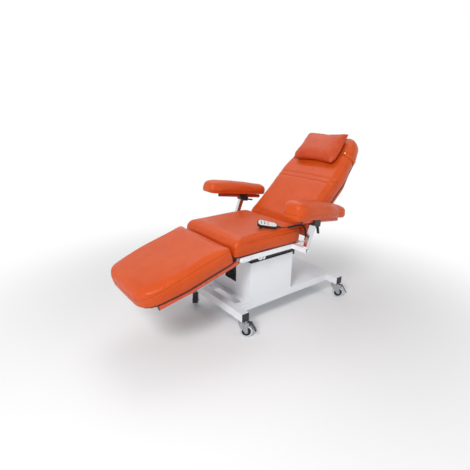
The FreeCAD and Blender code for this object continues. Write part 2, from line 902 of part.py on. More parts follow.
def make_pillow():
    w = pillow_half_width
    s = pillow_start
    e = pillow_end
    t = pillow_thickness
    thin = pillow_corner_thickness
    draw = thin / 2
    shares = ((1.0, 0.0, 0.0), (0.93, 0.25, 0.4), (0.7, 0.75, 0.8), (0.35, 0.95, 1.0), (0.0, 1.0, 1.0))
    outer = []
    for share, puff, pull in shares:
        outer.append((w * share, s + draw * pull, e - draw * pull, thin + (t - thin) * puff))
    inner = [(-x, a, b, h) for x, a, b, h in reversed(outer[:-1])]
    sections = [pillow_section(*values) for values in outer + inner]
    return [on_back(Part.makeLoft(sections, True, False))]


def make_pillow_strap():
    widest = plan_share(back_plan_shares, (strap_start - pillow_travel_down) / back_length)
    half = back_half_width * widest + strap_slack
    top = back_cushion_top + back_crown + 2 * face_gap
    bottom = back_cushion_bottom - back_board_thickness - strap_slack
    y = (strap_start, strap_end)
    outer_half = half + strap_thickness
    outer = block((-outer_half, outer_half), y, (bottom - strap_thickness, top + strap_thickness))
    inner = block((-half, half), (y[0] - overrun, y[1] + overrun), (bottom, top))
    return [on_back(outer.cut(inner))]


# Actuators


def isosceles_anchor(lug_along, lug_drop, run):
    """How far below the hinge the anchor lies, so that both ends are as far from the hinge."""
    arm = math.hypot(lug_along, lug_drop)
    return math.sqrt(arm * arm - run * run)


leg_anchor = (
    leg_hinge_y + leg_anchor_back,
    leg_hinge_z - isosceles_anchor(leg_lug_along, leg_lug_drop, leg_anchor_back),
)
back_anchor = (
    back_hinge_y - back_anchor_ahead,
    back_hinge_z - isosceles_anchor(back_lug_along, back_lug_drop, back_anchor_ahead),
)


def turned_point(along, height, hinge_y, hinge_z, angle):
    """Where a point drawn beside a hinge line comes to lie at an angle."""
    c = math.cos(math.radians(angle))
    s = math.sin(math.radians(angle))
    return (hinge_y + along * c - height * s, hinge_z + along * s + height * c)


leg_lug = turned_point(-leg_lug_along, -leg_lug_drop, leg_hinge_y, leg_hinge_z, leg_slope)
back_lug = turned_point(back_lug_along, -back_lug_drop, back_hinge_y, back_hinge_z, back_slope)


def between(shape, start, end):
    """Turns a shape drawn along +Y from zero so that it runs from one pivot towards the other."""
    angle = math.degrees(math.atan2(end[1] - start[1], end[0] - start[0]))
    return swung(shape, start[0], start[1], angle)


def actuator_body(anchor, lug, length, motor_side):
    neck = block(centred(0, 2 * eye_half_width), (0, eye_neck + overrun), centred(0, 1.6 * eye_radius))
    eye = rod_along((1, 0, 0), (-eye_half_width, 0, 0), 2 * eye_half_width, eye_radius).fuse(neck)
    barrel = rod_along((0, 1, 0), (0, eye_neck, 0), length - eye_neck, barrel_radius)
    gearbox_left = min(0, motor_side) * motor_offset - barrel_radius
    gearbox_right = max(0, motor_side) * motor_offset + barrel_radius
    gearbox = block(
        (gearbox_left, gearbox_right),
        (eye_neck, eye_neck + gearbox_length),
        centred(0, 2 * barrel_radius),
    )
    motor_start = (motor_side * motor_offset, eye_neck + gearbox_length, 0)
    motor = rod_along((0, 1, 0), motor_start, motor_length, motor_radius)
    body = eye.fuse(barrel).fuse(gearbox).fuse(motor)
    bore = rod_along((0, 1, 0), (0, eye_neck + gearbox_length / 2, 0), length, barrel_bore_radius)
    pin_bore = rod_along((1, 0, 0), (-column_width, 0, 0), 2 * column_width, pin_radius + running_gap)
    return between(body.cut(bore).cut(pin_bore), anchor, lug)


def actuator_rod(anchor, lug, length):
    eye = rod_along((1, 0, 0), (-eye_half_width, 0, 0), 2 * eye_half_width, eye_radius)
    shaft = rod_along((0, 1, 0), (0, 0, 0), length, rod_radius)
    pin_bore = rod_along((1, 0, 0), (-column_width, 0, 0), 2 * column_width, pin_radius + running_gap)
    return between(eye.fuse(shaft).cut(pin_bore), lug, anchor)


def make_actuator_brackets():
    solids = []
    ceiling = lift_plate_top - lift_plate_thickness
    for (y, z), toward in ((leg_anchor, -1), (back_anchor, 1)):
        solids += cheek_pair(y, z, ceiling - z, toward)
        solids.append(actuator_pin(y, z))
    return solids


# Arms


def lean_vector():
    return (0.0, math.sin(math.radians(post_lean)), math.cos(math.radians(post_lean)))


def forward_vector(side):
    """The way an arm rail points: towards the foot end, up by its tilt and outward by its splay."""
    level = math.cos(math.radians(rail_tilt))
    splay = math.radians(arm_splay[side])
    return (level * math.sin(splay), -level * math.cos(splay), math.sin(math.radians(rail_tilt)))


def on_post(shape, side, raised):
    """Places a shape drawn upright at the post's foot, leaned back and slid up its socket."""
    placed = shape.copy()
    placed.rotate(vec(0, 0, 0), vec(1, 0, 0), -post_lean)
    lean = lean_vector()
    foot = vec(arm_side[side] * arm_x, arm_foot_y, arm_foot_z)
    placed.translate(foot.add(vec(*lean) * raised))
    return placed


def clamp_centre(side):
    """The point where the post's line meets the arm rail's line."""
    lean = lean_vector()
    reach = post_to_clamp + arm_raise[side]
    return (arm_side[side] * arm_x, arm_foot_y + lean[1] * reach, arm_foot_z + lean[2] * reach)


def on_rail(shape, side, forward):
    """Places a shape drawn along Y at the clamp, tilted and splayed with the rail and slid along it."""
    placed = shape.copy()
    placed.rotate(vec(0, 0, 0), vec(1, 0, 0), -rail_tilt)
    placed.rotate(vec(0, 0, 0), vec(0, 0, 1), arm_splay[side])
    placed.translate(vec(*clamp_centre(side)).add(vec(*forward_vector(side)) * forward))
    return placed


def arm_stem(side):
    """The leaning bar that stands on the carrier bar's end, on which the tubular post slides."""
    width = post_width - 2 * post_wall - 2 * slide_gap
    depth = post_depth - 2 * post_wall - 2 * slide_gap
    stem = block(centred(0, width), centred(0, depth), (-overrun, stem_length))
    placed = on_post(stem, side, 0)
    middle = arm_side[side] * arm_x
    above = block(centred(middle, 2 * post_width), (0, 2 * arm_foot_y), (rail_top, 2 * rail_top))
    return placed.common(above)


def make_arm_post(side):
    top = post_to_clamp - clamp_bottom
    low = math.tan(math.radians(post_lean)) * post_depth / 2 + slide_gap
    low += (rail_top - arm_foot_z) / math.cos(math.radians(post_lean))
    post = block(centred(0, post_width), centred(0, post_depth), (low, top))
    width = post_width - 2 * post_wall
    depth = post_depth - 2 * post_wall
    post = post.cut(block(centred(0, width), centred(0, depth), (low - overrun, top - post_wall)))
    return [on_post(post, side, arm_raise[side]), arm_clamp(side)]


def arm_clamp(side):
    """The moulded clamp on the post's top: it grips the rail and carries the locking lever."""
    outer_top = arm_rail_radius + clamp_over
    rear = lever_pivot_back + lever_hub_radius
    body = block(
        centred(0, 2 * clamp_half_width), (-clamp_half_length, clamp_half_length), (-clamp_bottom, outer_top)
    )
    long_edges = [e for e in body.Edges if abs(e.tangentAt(e.FirstParameter).y) > 0.9]
    body = body.makeFillet(clamp_over, long_edges)
    fork_half = lever_half_width + slide_gap + clamp_over
    cheek_z = (-lever_pivot_drop - lever_hub_radius, -arm_rail_radius / 2)
    cheek = block(centred(0, 2 * fork_half), (0, rear), cheek_z)
    body = body.fuse(cheek)
    reach = lever_half_width + slide_gap
    gap_y = (lever_pivot_back - lever_hub_radius, rear + overrun)
    gap = block((-reach, reach), gap_y, (-clamp_bottom - lever_length, arm_rail_radius / 2))
    body = body.cut(gap)
    bore_start = (0, -clamp_half_length - overrun, 0)
    bore = rod_along((0, 1, 0), bore_start, 4 * clamp_half_length, arm_rail_radius + running_gap)
    body = body.cut(bore)
    pin_start = (-fork_half, lever_pivot_back, -lever_pivot_drop)
    body = body.fuse(rod_along((1, 0, 0), pin_start, 2 * fork_half, lever_pin_radius))
    placed = on_rail(body, side, 0)
    top = post_to_clamp - clamp_bottom
    post_room = block(centred(0, post_width), centred(0, post_depth), (-overrun, top))
    return placed.cut(on_post(post_room, side, arm_raise[side]))


def make_arm_lever(side):
    hub = rod_along((1, 0, 0), (-lever_half_width, 0, 0), 2 * lever_half_width, lever_hub_radius - hub_shrink)
    grip = block(centred(0, 1.5 * lever_half_width), (0, lever_length), centred(0, 1.1 * lever_half_width))
    tip_start = (-0.75 * lever_half_width, lever_length, 0)
    tip = rod_along((1, 0, 0), tip_start, 1.5 * lever_half_width, 0.55 * lever_half_width)
    lever = hub.fuse(grip).fuse(tip)
    pin_bore = rod_along(
        (1, 0, 0), (-2 * lever_half_width, 0, 0), 4 * lever_half_width, lever_pin_radius + running_gap
    )
    lever = lever.cut(pin_bore)
    lever.rotate(vec(0, 0, 0), vec(1, 0, 0), lever_turn[side])
    lever.translate(vec(0, lever_pivot_back, -lever_pivot_drop))
    return [on_rail(lever, side, 0)]


def make_arm_rail(side):
    length = arm_rail_rear - arm_rail_front
    tube = rod_along((0, 1, 0), (0, arm_rail_front, 0), length, arm_rail_radius)
    bore_start = (0, arm_rail_front - overrun, 0)
    bore = rod_along((0, 1, 0), bore_start, length + 2 * overrun, arm_rail_radius - arm_rail_wall)
    spacer_top = arm_rail_radius + arm_spacer_height
    for start in arm_spacer_at:
        start = max(start, arm_rail_front)
        spacer = block(centred(0, 1.4 * arm_rail_radius), (start, start + arm_spacer_length), (0, spacer_top))
        tube = tube.fuse(spacer)
    solids = [tube.cut(bore)]
    for end, toward in ((arm_rail_front, -1), (arm_rail_rear, 1)):
        flange = rod_along((0, toward, 0), (0, end, 0), plug_flange, arm_rail_radius)
        stem_radius = arm_rail_radius - arm_rail_wall - running_gap
        stem = rod_along((0, -toward, 0), (0, end, 0), plug_length, stem_radius)
        solids.append(flange.fuse(stem))
    return [on_rail(solid, side, arm_forward[side]) for solid in solids]


def make_arm_pad(side):
    b = arm_rail_radius + arm_spacer_height + face_gap
    t = b + arm_pad_thickness[side] - arm_pad_crown
    w = arm_pad_half_width
    r = arm_pad_shoulder
    c = arm_pad_crown
    e = arm_pad_half_length
    fall = arm_pad_fall[side]
    taper = arm_pad_taper
    ahead = arm_rail_front - plug_flange
    sections = [
        (-e, w - r * 1.4, b + r * 0.35, t - r, c * 0.3, r * 0.6),
        (-e + r * 0.2, w - r * 0.85, b + r * 0.12, t - r * 0.5, c * 0.5, r * 0.8),
        (-e + r * 0.7, w - r * 0.35, b, t - r * 0.15, c * 0.8, r),
        (-e + r * 1.6, w - r * 0.06, b, t, c, r),
        (ahead - r, w, b, t, c, r),
        (ahead + r, w, b, t, c, r),
        (e * 0.1, w - taper * 0.1, b, t - fall * 0.18, c, r),
        (e * 0.4, w - taper * 0.5, b, t - fall * 0.5, c, r),
        (e - r * 1.6, w - taper, b, t - fall * 0.86, c, r * 0.9),
        (e - r * 0.6, w - taper - r * 0.3, b, t - fall - r * 0.05, c * 0.8, r * 0.8),
        (e - r * 0.15, w - taper - r * 0.75, b + r * 0.1, t - fall - r * 0.3, c * 0.5, r * 0.6),
        (e, w - taper - r * 1.1, b + r * 0.3, t - fall - r * 0.65, c * 0.3, r * 0.45),
    ]
    return [on_rail(pad(sections), side, arm_forward[side])]


# Hand control and its lead


def on_handset(shape):
    """Places a shape drawn with the handset flat at zero, cable end towards +X."""
    placed = shape.copy()
    placed.rotate(vec(0, 0, 0), vec(1, 0, 0), handset_roll)
    placed.rotate(vec(0, 0, 0), vec(0, 1, 0), handset_tilt)
    placed.rotate(vec(0, 0, 0), vec(0, 0, 1), handset_heading)
    placed.translate(vec(handset_x, handset_y, handset_z))
    return placed


def handset_direction(x, y, z):
    """A handset direction as a row direction."""
    roll = math.radians(handset_roll)
    tilt = math.radians(handset_tilt)
    heading = math.radians(handset_heading)
    y, z = y * math.cos(roll) - z * math.sin(roll), y * math.sin(roll) + z * math.cos(roll)
    x, z = x * math.cos(tilt) + z * math.sin(tilt), z * math.cos(tilt) - x * math.sin(tilt)
    return (x * math.cos(heading) - y * math.sin(heading), x * math.sin(heading) + y * math.cos(heading), z)


def handset_point(x, y, z):
    ox, oy, oz = handset_direction(x, y, z)
    return (handset_x + ox, handset_y + oy, handset_z + oz)


def handset_plan(inset):
    half = handset_length / 2 - inset
    wide = handset_wide / 2 - inset
    narrow = handset_narrow / 2 - inset
    nip = handset_wide / 5
    return [
        (half, narrow - nip), (half - nip, narrow), (nip - half, wide), (-half, wide - nip),
        (-half, nip - wide), (nip - half, -wide), (half - nip, -narrow), (half, nip - narrow),
    ]


def key_places():
    places = []
    for column in (-1, 0, 1):
        for row in (-0.5, 0.5):
            places.append((keys_centre + column * key_pitch_along, row * key_pitch_across))
    return places


def make_handset_case():
    top = handset_thickness
    body = prism_z(handset_plan(0), (0, top - keypad_thickness))
    edges = [e for e in body.Edges if abs(e.CenterOfMass.z) < running_gap]
    body = body.makeChamfer(keypad_inset, edges)
    for x, y in key_places():
        floor = top - key_height - key_travel
        well = rod_along((0, 0, 1), (x, y, floor), key_height + overrun, key_radius + key_gap)
        body = body.cut(well)
    hook_x = (hook_place[0] - hook_band_width / 2, hook_place[0] + hook_band_width / 2)
    hook_y = (hook_place[1], hook_place[1] + hook_band)
    stem = block(hook_x, hook_y, (-hook_reach, keypad_inset))
    lip = block(hook_x, (hook_y[0], hook_y[0] + hook_band_width), (-hook_reach, hook_band - hook_reach))
    body = body.fuse(stem).fuse(lip)
    half = handset_length / 2
    relief = Part.makeCone(
        relief_base_radius, relief_tip_radius, relief_length, vec(half, 0, top / 2), vec(1, 0, 0)
    )
    return [on_handset(body), on_handset(relief)]


def make_handset_keypad():
    top = handset_thickness
    plate = prism_z(handset_plan(keypad_inset), (top - keypad_thickness, top))
    for x, y in key_places():
        plate = plate.cut(rod_along((0, 0, 1), (x, y, 0), 2 * top, key_radius + key_gap))
    return [on_handset(plate)]


def make_handset_key(number):
    x, y = key_places()[number - 1]
    top = handset_thickness + key_proud
    low = top - key_height - key_proud + key_gap
    key = rod_along((0, 0, 1), (x, y, low), key_height + key_proud, key_radius)
    key = key.makeFillet(key_proud / 2, [key.Edges[0]])
    return [on_handset(key)]


def make_control_box():
    box = block(box_x, box_y, box_z)
    box = box.makeFillet(box_corner, [e for e in box.Edges if abs(e.tangentAt(e.FirstParameter).z) > 0.9])
    z = box_z[1] - gland_drop
    y = (box_y[0] + box_y[1]) / 2
    gland = rod_along((1, 0, 0), (box_x[1], y, z), gland_length, gland_radius)
    nut = rod_along((1, 0, 0), (box_x[1], y, z), gland_length / 3, gland_radius * 1.35)
    return [box.fuse(gland.fuse(nut))]


def lead_route():
    """The lead's line: off the handset, over the seat's edge, down behind the arm post, into the box."""
    start = handset_point(handset_length / 2 + relief_length, 0, handset_thickness / 2)
    end_y = (box_y[0] + box_y[1]) / 2
    end_z = box_z[1] - gland_drop
    end_x = box_x[1] + gland_length
    chosen = [
        (249.0, 71.5, 622.6),
        (254.5, 84.0, 621.8),
        (258.0, 101.0, 621.6),
        (261.5, 120.0, 622.4),
        (266.0, 141.0, 624.4),
        (272.0, 163.0, 627.0),
        (279.0, 185.0, 627.6),
        (286.0, 205.5, 618.0),
        (289.0, 219.0, 598.0),
        (289.8, 225.0, 571.0),
        (290.0, 227.0, 541.0),
        (289.5, 229.0, 511.0),
        (286.0, 232.0, 482.0),
        (275.0, 237.0, 460.0),
        (254.0, 242.0, 444.0),
        (226.0, end_y, end_z),
    ]
    return [start] + chosen + [(end_x, end_y, end_z)]


def rounded_route(points):
    """Straight runs joined by tangent arcs, as large as their two runs allow. Prints the radii."""
    p = [vec(*point) for point in points]
    edges = []
    radii = []
    last = p[0]
    for i in range(1, len(p) - 1):
        back_way = p[i - 1].sub(p[i])
        ahead = p[i + 1].sub(p[i])
        reach = 0.45 * min(back_way.Length, ahead.Length)
        back_way.normalize()
        ahead.normalize()
        a = p[i].add(back_way * reach)
        b = p[i].add(ahead * reach)
        turn = math.pi - back_way.getAngle(ahead)
        radius = reach / math.tan(turn / 2)
        inward = back_way.add(ahead)
        inward.normalize()
        depth = math.hypot(radius, reach) - radius
        edges.append(Part.LineSegment(last, a).toShape())
        edges.append(Part.Arc(a, p[i].add(inward * depth), b).toShape())
        radii.append(round(radius))
        last = b
    edges.append(Part.LineSegment(last, p[-1]).toShape())
    print("lead route radii", radii)
    return Part.Wire(edges)


def biarc(p1, t1, p2, t2):
    """Two arcs that leave one point along a direction and reach the other along its own."""
    v = p2.sub(p1)
    t = t1.add(t2)
    a = 2 * (1 - t1.dot(t2))
    b = v.dot(t)
    c = v.dot(v)
    reach = c / (2 * b) if a < 1e-9 else (-b + math.sqrt(b * b + a * c)) / a
    joint = p1.add(t1 * reach).add(p2.sub(t2 * reach)) * 0.5
    arcs = []
    for start, corner, end in ((p1, p1.add(t1 * reach), joint), (joint, p2.sub(t2 * reach), p2)):
        chord_middle = start.add(end) * 0.5
        to_corner = corner.sub(chord_middle)
        half = end.sub(start).Length / 2
        if to_corner.Length < 1e-6:
            arcs.append(Part.LineSegment(start, end).toShape())
            continue
        rise = half * math.tan(math.atan2(to_corner.Length, half) / 2)
        to_corner.normalize()
        arcs.append(Part.Arc(start, chord_middle.add(to_corner * rise), end).toShape())
    return arcs


def route_frames(wire, start, end, count):
    """Points along a wire with a pair of side directions that never spin."""
    lengths = [start + (end - start) * i / count for i in range(count + 1)]
    edges = wire.OrderedEdges
    frames = []
    side = None
    for length in lengths:
        left = length
        for edge in edges:
            if left <= edge.Length or edge is edges[-1]:
                break
            left -= edge.Length
        parameter = edge.getParameterByLength(min(left, edge.Length))
        point = edge.valueAt(parameter)
        tangent = edge.tangentAt(parameter)
        if edge.Orientation == "Reversed":
            parameter = edge.getParameterByLength(max(edge.Length - left, 0))
            point = edge.valueAt(parameter)
            tangent = edge.tangentAt(parameter) * -1
        if side is None:
            side = tangent.cross(vec(0, 0, 1))
        side = side.sub(tangent * side.dot(tangent))
        side.normalize()
        frames.append((point, tangent, side, tangent.cross(side)))
    return frames


def curly_line(wire, start, count):
    """The helix of the curls as points and directions at each quarter turn, worked out along the route."""
    steps = 4 * count
    end = start + count * curl_pitch
    frames = route_frames(wire, start, end, steps)
    points = []
    for i, (centre, tangent, side, up) in enumerate(frames):
        grow = min(1.0, i / 4.0, (steps - i) / 4.0)
        turn = math.pi / 2 * i
        out = side * math.cos(turn) + up * math.sin(turn)
        round_way = up * math.cos(turn) - side * math.sin(turn)
        radius = curl_radius * grow
        forward = tangent * (curl_pitch / (2 * math.pi))
        slope = curl_radius * (1 if i < 4 else -1 if steps - i < 4 else 0) / (2 * math.pi)
        way = forward.add(round_way * max(radius, 0.0)).add(out * slope)
        if i in (0, steps):
            way = tangent * 1.0
        way.normalize()
        points.append((centre.add(out * radius), way))
    return points, end


def least_gap(points):
    """The least gap of the curly tube to itself, between points half a curl apart or more along the wire."""
    fine = []
    along = 0
    for (a, ta), (b, tb) in zip(points, points[1:]):
        for arc in biarc(a, ta, b, tb):
            fine.append((arc.valueAt(arc.FirstParameter), along))
            fine.append((arc.valueAt((arc.FirstParameter + arc.LastParameter) / 2), along + arc.Length / 2))
            along += arc.Length
    least = curl_radius * curls_count
    for i, (a, along_a) in enumerate(fine):
        for b, along_b in fine[i + 1:i + 60]:
            if along_b - along_a > math.pi * curl_radius:
                least = min(least, a.sub(b).Length)
    return least - 2 * lead_radius


def make_handset_lead():
    wire = rounded_route(lead_route())
    points, curls_end = curly_line(wire, curls_from, curls_count)
    print("curly lead least gap to itself", round(least_gap(points), 2))
    frames = route_frames(wire, 0, curls_from, 12)
    tail = route_frames(wire, curls_end, wire.Length, 60)
    line = [(f[0], f[1]) for f in frames[:-1]] + points + [(f[0], f[1]) for f in tail[1:]]
    edges = []
    for (a, ta), (b, tb) in zip(line, line[1:]):
        edges += biarc(a, ta, b, tb)
    path = Part.Wire(edges)
    solid = swept(path, lead_radius)
    share = solid.Volume / (math.pi * lead_radius ** 2 * path.Length)
    print("lead length", round(path.Length), "route", round(wire.Length), "volume share", round(share, 3))
    return [solid]


# Casters


def caster_place(corner):
    x = caster_x if corner.endswith("left") else -caster_x
    y = front_crossbar_y if corner.startswith("front") else rear_crossbar_y
    return (x, y)


def on_caster(shape, corner):
    """Places a shape drawn with the swivel axis at zero and the wheel trailing towards +Y."""
    placed = shape.copy()
    placed.rotate(vec(0, 0, 0), vec(0, 0, 1), caster_turn[corner])
    x, y = caster_place(corner)
    placed.translate(vec(x, y, 0))
    return placed


def make_caster_stems():
    ceiling = crossbar_top - crossbar_size
    stems = []
    for corner in caster_turn:
        stem = rod_along((0, 0, 1), (0, 0, ceiling - race_height), race_height, race_radius)
        stem = stem.fuse(rod_along((0, 0, 1), (0, 0, ceiling), stud_length, stud_radius))
        low = crown_bottom - face_gap - king_head_height
        stem = stem.fuse(rod_along((0, 0, 1), (0, 0, low), ceiling - low, king_pin_radius))
        stem = stem.fuse(rod_along((0, 0, 1), (0, 0, low), king_head_height, king_head_radius))
        stems.append(on_caster(stem, corner))
    return stems


def make_caster_fork(corner):
    ceiling = crossbar_top - crossbar_size - race_height - slide_gap
    outer = fork_gap_half + fork_plate
    crown_top = crown_bottom + crown_thickness
    crown = block((-outer, outer), crown_length, (crown_bottom, crown_top))
    crown = crown.fuse(rod_along((0, 0, 1), (0, 0, crown_bottom), ceiling - crown_bottom, housing_radius))
    axle_y = caster_trail
    axle_z = wheel_radius
    reach = 2.2 * axle_radius
    tail = pedal_pivot[0] + pedal_hub_radius
    profile = [
        (crown_length[0], crown_top),
        (crown_length[0], crown_bottom - crown_thickness),
        (axle_y - reach, axle_z - reach / 3),
        (axle_y - reach / 2, axle_z - reach),
        (axle_y + reach / 2, axle_z - reach),
        (axle_y + reach, axle_z),
        (crown_length[1] + crown_thickness / 2, crown_bottom - 4 * crown_thickness),
        (tail, crown_bottom - crown_thickness),
        (tail, crown_top + pedal_hub_radius),
        (crown_length[1] - reach / 2, crown_top + pedal_hub_radius),
        (crown_length[1] - reach, crown_top),
    ]
    for x in ((-outer, -fork_gap_half), (fork_gap_half, outer)):
        crown = crown.fuse(prism_x(profile, x))
    crown = crown.cut(rod_along((0, 0, 1), (0, 0, 0), 3 * crown_bottom, king_pin_radius + running_gap))
    axle = rod_along((1, 0, 0), (-outer, axle_y, axle_z), 2 * outer, axle_radius)
    crown = crown.cut(axle)
    for side in (-1, 1):
        head = rod_along((side, 0, 0), (side * outer, axle_y, axle_z), axle_radius, 1.7 * axle_radius)
        axle = axle.fuse(head)
    pedal_pin = rod_along((1, 0, 0), (-outer, pedal_pivot[0], pedal_pivot[1]), 2 * outer, pedal_pin_radius)
    return [on_caster(crown.fuse(pedal_pin), corner), on_caster(axle, corner)]


def wheel_ring(outline, y, z):
    """A ring turned about the axle from half its section, given as radius and X."""
    points = [vec(x, r, 0) for r, x in outline]
    face = Part.Face(Part.makePolygon(points + [points[0]]))
    ring = face.revolve(vec(0, 0, 0), vec(1, 0, 0), 360)
    ring.translate(vec(0, y, z))
    return ring


def make_caster_wheel(corner):
    w = wheel_half_width
    tyre = wheel_ring(
        [
            (tyre_inner_radius, -w),
            (wheel_radius - tyre_round, -w),
            (wheel_radius - tyre_round / 4, -w + tyre_round * 0.7),
            (wheel_radius, -w + 1.6 * tyre_round),
            (wheel_radius, w - 1.6 * tyre_round),
            (wheel_radius - tyre_round / 4, w - tyre_round * 0.7),
            (wheel_radius - tyre_round, w),
            (tyre_inner_radius, w),
        ],
        caster_trail,
        wheel_radius,
    )
    bore = axle_radius + running_gap
    rim = tyre_inner_radius - 2 * axle_radius / 3
    hub = wheel_ring(
        [
            (bore, -hub_boss_half_width),
            (hub_boss_radius, -hub_boss_half_width),
            (hub_boss_radius, -hub_web_half_width),
            (rim, -hub_web_half_width),
            (rim, -w),
            (tyre_inner_radius, -w),
            (tyre_inner_radius, w),
            (rim, w),
            (rim, hub_web_half_width),
            (hub_boss_radius, hub_web_half_width),
            (hub_boss_radius, hub_boss_half_width),
            (bore, hub_boss_half_width),
        ],
        caster_trail,
        wheel_radius,
    )
    return [on_caster(tyre, corner), on_caster(hub, corner)]


def make_caster_pedal(corner):
    y, z = pedal_pivot
    t = pedal_thickness
    knee_y = y + pedal_knee[0]
    knee_z = z + pedal_knee[1]
    tip_y = y + pedal_length
    tip_z = z - pedal_drop
    half = fork_gap_half - slide_gap
    arm = [
        (y - t / 2, z), (y, z + t / 2), (knee_y, knee_z + t / 2),
        (knee_y + t / 2, knee_z), (knee_y, knee_z - t / 2), (y, z - t / 2),
    ]
    sole = [
        (knee_y - t / 3, knee_z), (knee_y, knee_z + t / 2), (knee_y + t / 2, knee_z + t / 4),
        (tip_y + t / 2, tip_z), (tip_y, tip_z - t / 3), (tip_y - t / 2, tip_z),
    ]
    neck = prism_x(arm, (-half, half))
    tread = prism_x(sole, (-pedal_half_width, pedal_half_width))
    hub = rod_along((1, 0, 0), (-half, y, z), 2 * half, pedal_hub_radius - hub_shrink)
    pedal = neck.fuse(tread).fuse(hub)
    pedal = pedal.cut(rod_along((1, 0, 0), (-2 * half, y, z), 4 * half, pedal_pin_radius + running_gap))
    return [on_caster(pedal, corner)]


def make_nodes():
    nodes = {
        "crossbars": [crossbar(front_crossbar_y), crossbar(rear_crossbar_y)],
        "base_side_rails": make_base_side_rails(),
        "base_tray": make_base_tray(),
        "crossbar_end_caps": make_end_caps(),
        "pedestal_cover": make_pedestal_cover(),
        "lift_outer_column": make_lift_outer_column(),
        "caster_stems": make_caster_stems(),
        "lift_inner_column": make_lift_inner_column(),
        "lift_shroud": make_lift_shroud(),
        "seat_rails": make_seat_rails(),
        "seat_cross_tubes": make_seat_cross_tubes(),
        "seat_board": make_seat_board(),
        "seat_cushion": make_seat_cushion(),
        "leg_hinge_brackets": make_leg_hinge_brackets(),
        "back_hinge_brackets": make_back_hinge_brackets(),
        "actuator_brackets": make_actuator_brackets(),
        "control_box": make_control_box(),
        "handset_case": make_handset_case(),
        "handset_keypad": make_handset_keypad(),
        "handset_lead": make_handset_lead(),
        "leg_side_tubes": make_leg_side_tubes(),
        "leg_cross_tubes": make_leg_cross_tubes(),
        "leg_board": make_leg_board(),
        "leg_cushion": make_leg_cushion(),
        "leg_actuator_body": [actuator_body(leg_anchor, leg_lug, leg_barrel_length, 1)],
        "leg_actuator_rod": [actuator_rod(leg_anchor, leg_lug, leg_rod_length)],
        "back_side_tubes": make_back_side_tubes(),
        "back_cross_tubes": make_back_cross_tubes(),
        "back_board": make_back_board(),
        "back_cushion": make_back_cushion(),
        "pillow": make_pillow(),
        "pillow_strap": make_pillow_strap(),
        "back_actuator_body": [actuator_body(back_anchor, back_lug, back_barrel_length, -1)],
        "back_actuator_rod": [actuator_rod(back_anchor, back_lug, back_rod_length)],
    }
    for number in range(1, len(key_places()) + 1):
        nodes["handset_key_" + str(number)] = make_handset_key(number)
    for side in arm_side:
        nodes["arm_post_" + side] = make_arm_post(side)
        nodes["arm_lever_" + side] = make_arm_lever(side)
        nodes["arm_rail_" + side] = make_arm_rail(side)
        nodes["arm_pad_" + side] = make_arm_pad(side)
    for corner in caster_turn:
        nodes["caster_fork_" + corner] = make_caster_fork(corner)
        nodes["caster_wheel_" + corner] = make_caster_wheel(corner)
        nodes["caster_pedal_" + corner] = make_caster_pedal(corner)
    return nodes


def export(nodes):
    os.makedirs("parts", exist_ok=True)
    for name, solids in nodes.items():
        shape = solids[0] if len(solids) == 1 else Part.makeCompound(solids)
        if not shape.isValid():
            print("not valid:", name)
        shape.exportStep("parts/" + name + ".step")
    print(len(nodes), "nodes")


export(make_nodes())
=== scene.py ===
# %% [markdown]
# # A couch for taking blood
# The couch stands on a low castered base and leans back for a patient who lies in it.
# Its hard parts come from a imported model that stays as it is. This lesson gives them their
# finishes, and builds the upholstery, the pillow and the curly lead on top of them.

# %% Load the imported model
import math

import bpy
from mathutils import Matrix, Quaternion, Vector, noise


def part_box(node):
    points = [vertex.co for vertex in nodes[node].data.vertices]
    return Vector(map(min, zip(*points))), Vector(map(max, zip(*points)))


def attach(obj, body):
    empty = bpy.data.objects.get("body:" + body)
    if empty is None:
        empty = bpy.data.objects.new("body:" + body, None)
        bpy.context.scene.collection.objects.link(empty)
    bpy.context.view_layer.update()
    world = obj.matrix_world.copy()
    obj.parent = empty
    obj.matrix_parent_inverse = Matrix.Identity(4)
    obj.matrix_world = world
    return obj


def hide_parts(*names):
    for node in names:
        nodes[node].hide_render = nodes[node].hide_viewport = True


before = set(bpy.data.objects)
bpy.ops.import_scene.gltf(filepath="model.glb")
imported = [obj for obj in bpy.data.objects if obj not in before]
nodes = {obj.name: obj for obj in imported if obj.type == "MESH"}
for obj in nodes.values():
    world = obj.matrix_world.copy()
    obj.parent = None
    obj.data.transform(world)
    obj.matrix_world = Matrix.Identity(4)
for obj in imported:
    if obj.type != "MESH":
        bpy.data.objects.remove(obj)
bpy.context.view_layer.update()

print("hard and soft nodes:", len(nodes))

# %% [markdown]
# ## The camera
# The photograph was taken from the foot end, a little above the seat, with a short lens.
# A camera can be turned by a matrix, but three angles and a place say the same thing and are
# easier to change: how far round it stands, how far up, and how much it rolls.

# %% Camera
view_azimuth = 52.31
view_elevation = 18.16
view_roll = 0.78
camera_place = (1.7359, -1.4430, 1.2617)
lens_length, film_width = 28.21, 36.0
camera_data = bpy.data.cameras.new("camera")
camera_data.lens = lens_length
camera_data.sensor_width = film_width
camera_data.clip_start, camera_data.clip_end = 0.05, 60.0
camera = bpy.data.objects.new("camera", camera_data)
bpy.context.scene.collection.objects.link(camera)
side_angle, rise_angle = math.radians(view_azimuth), math.radians(view_elevation)
toward_couch = Vector((
    -math.sin(side_angle) * math.cos(rise_angle),
    math.cos(side_angle) * math.cos(rise_angle),
    -math.sin(rise_angle),
))
camera.location = camera_place
camera.rotation_mode = "QUATERNION"
camera.rotation_quaternion = toward_couch.to_track_quat("-Z", "Y") @ Quaternion(
    (0, 0, 1), math.radians(view_roll)
)
bpy.context.scene.camera = camera
print("camera at", [round(c, 3) for c in camera.location])

# %% [markdown]
# ## Small helpers for selecting
# An operator acts on everything that is selected, so each step first clears the selection.
# These steps come back on nearly every piece, so they are written once.

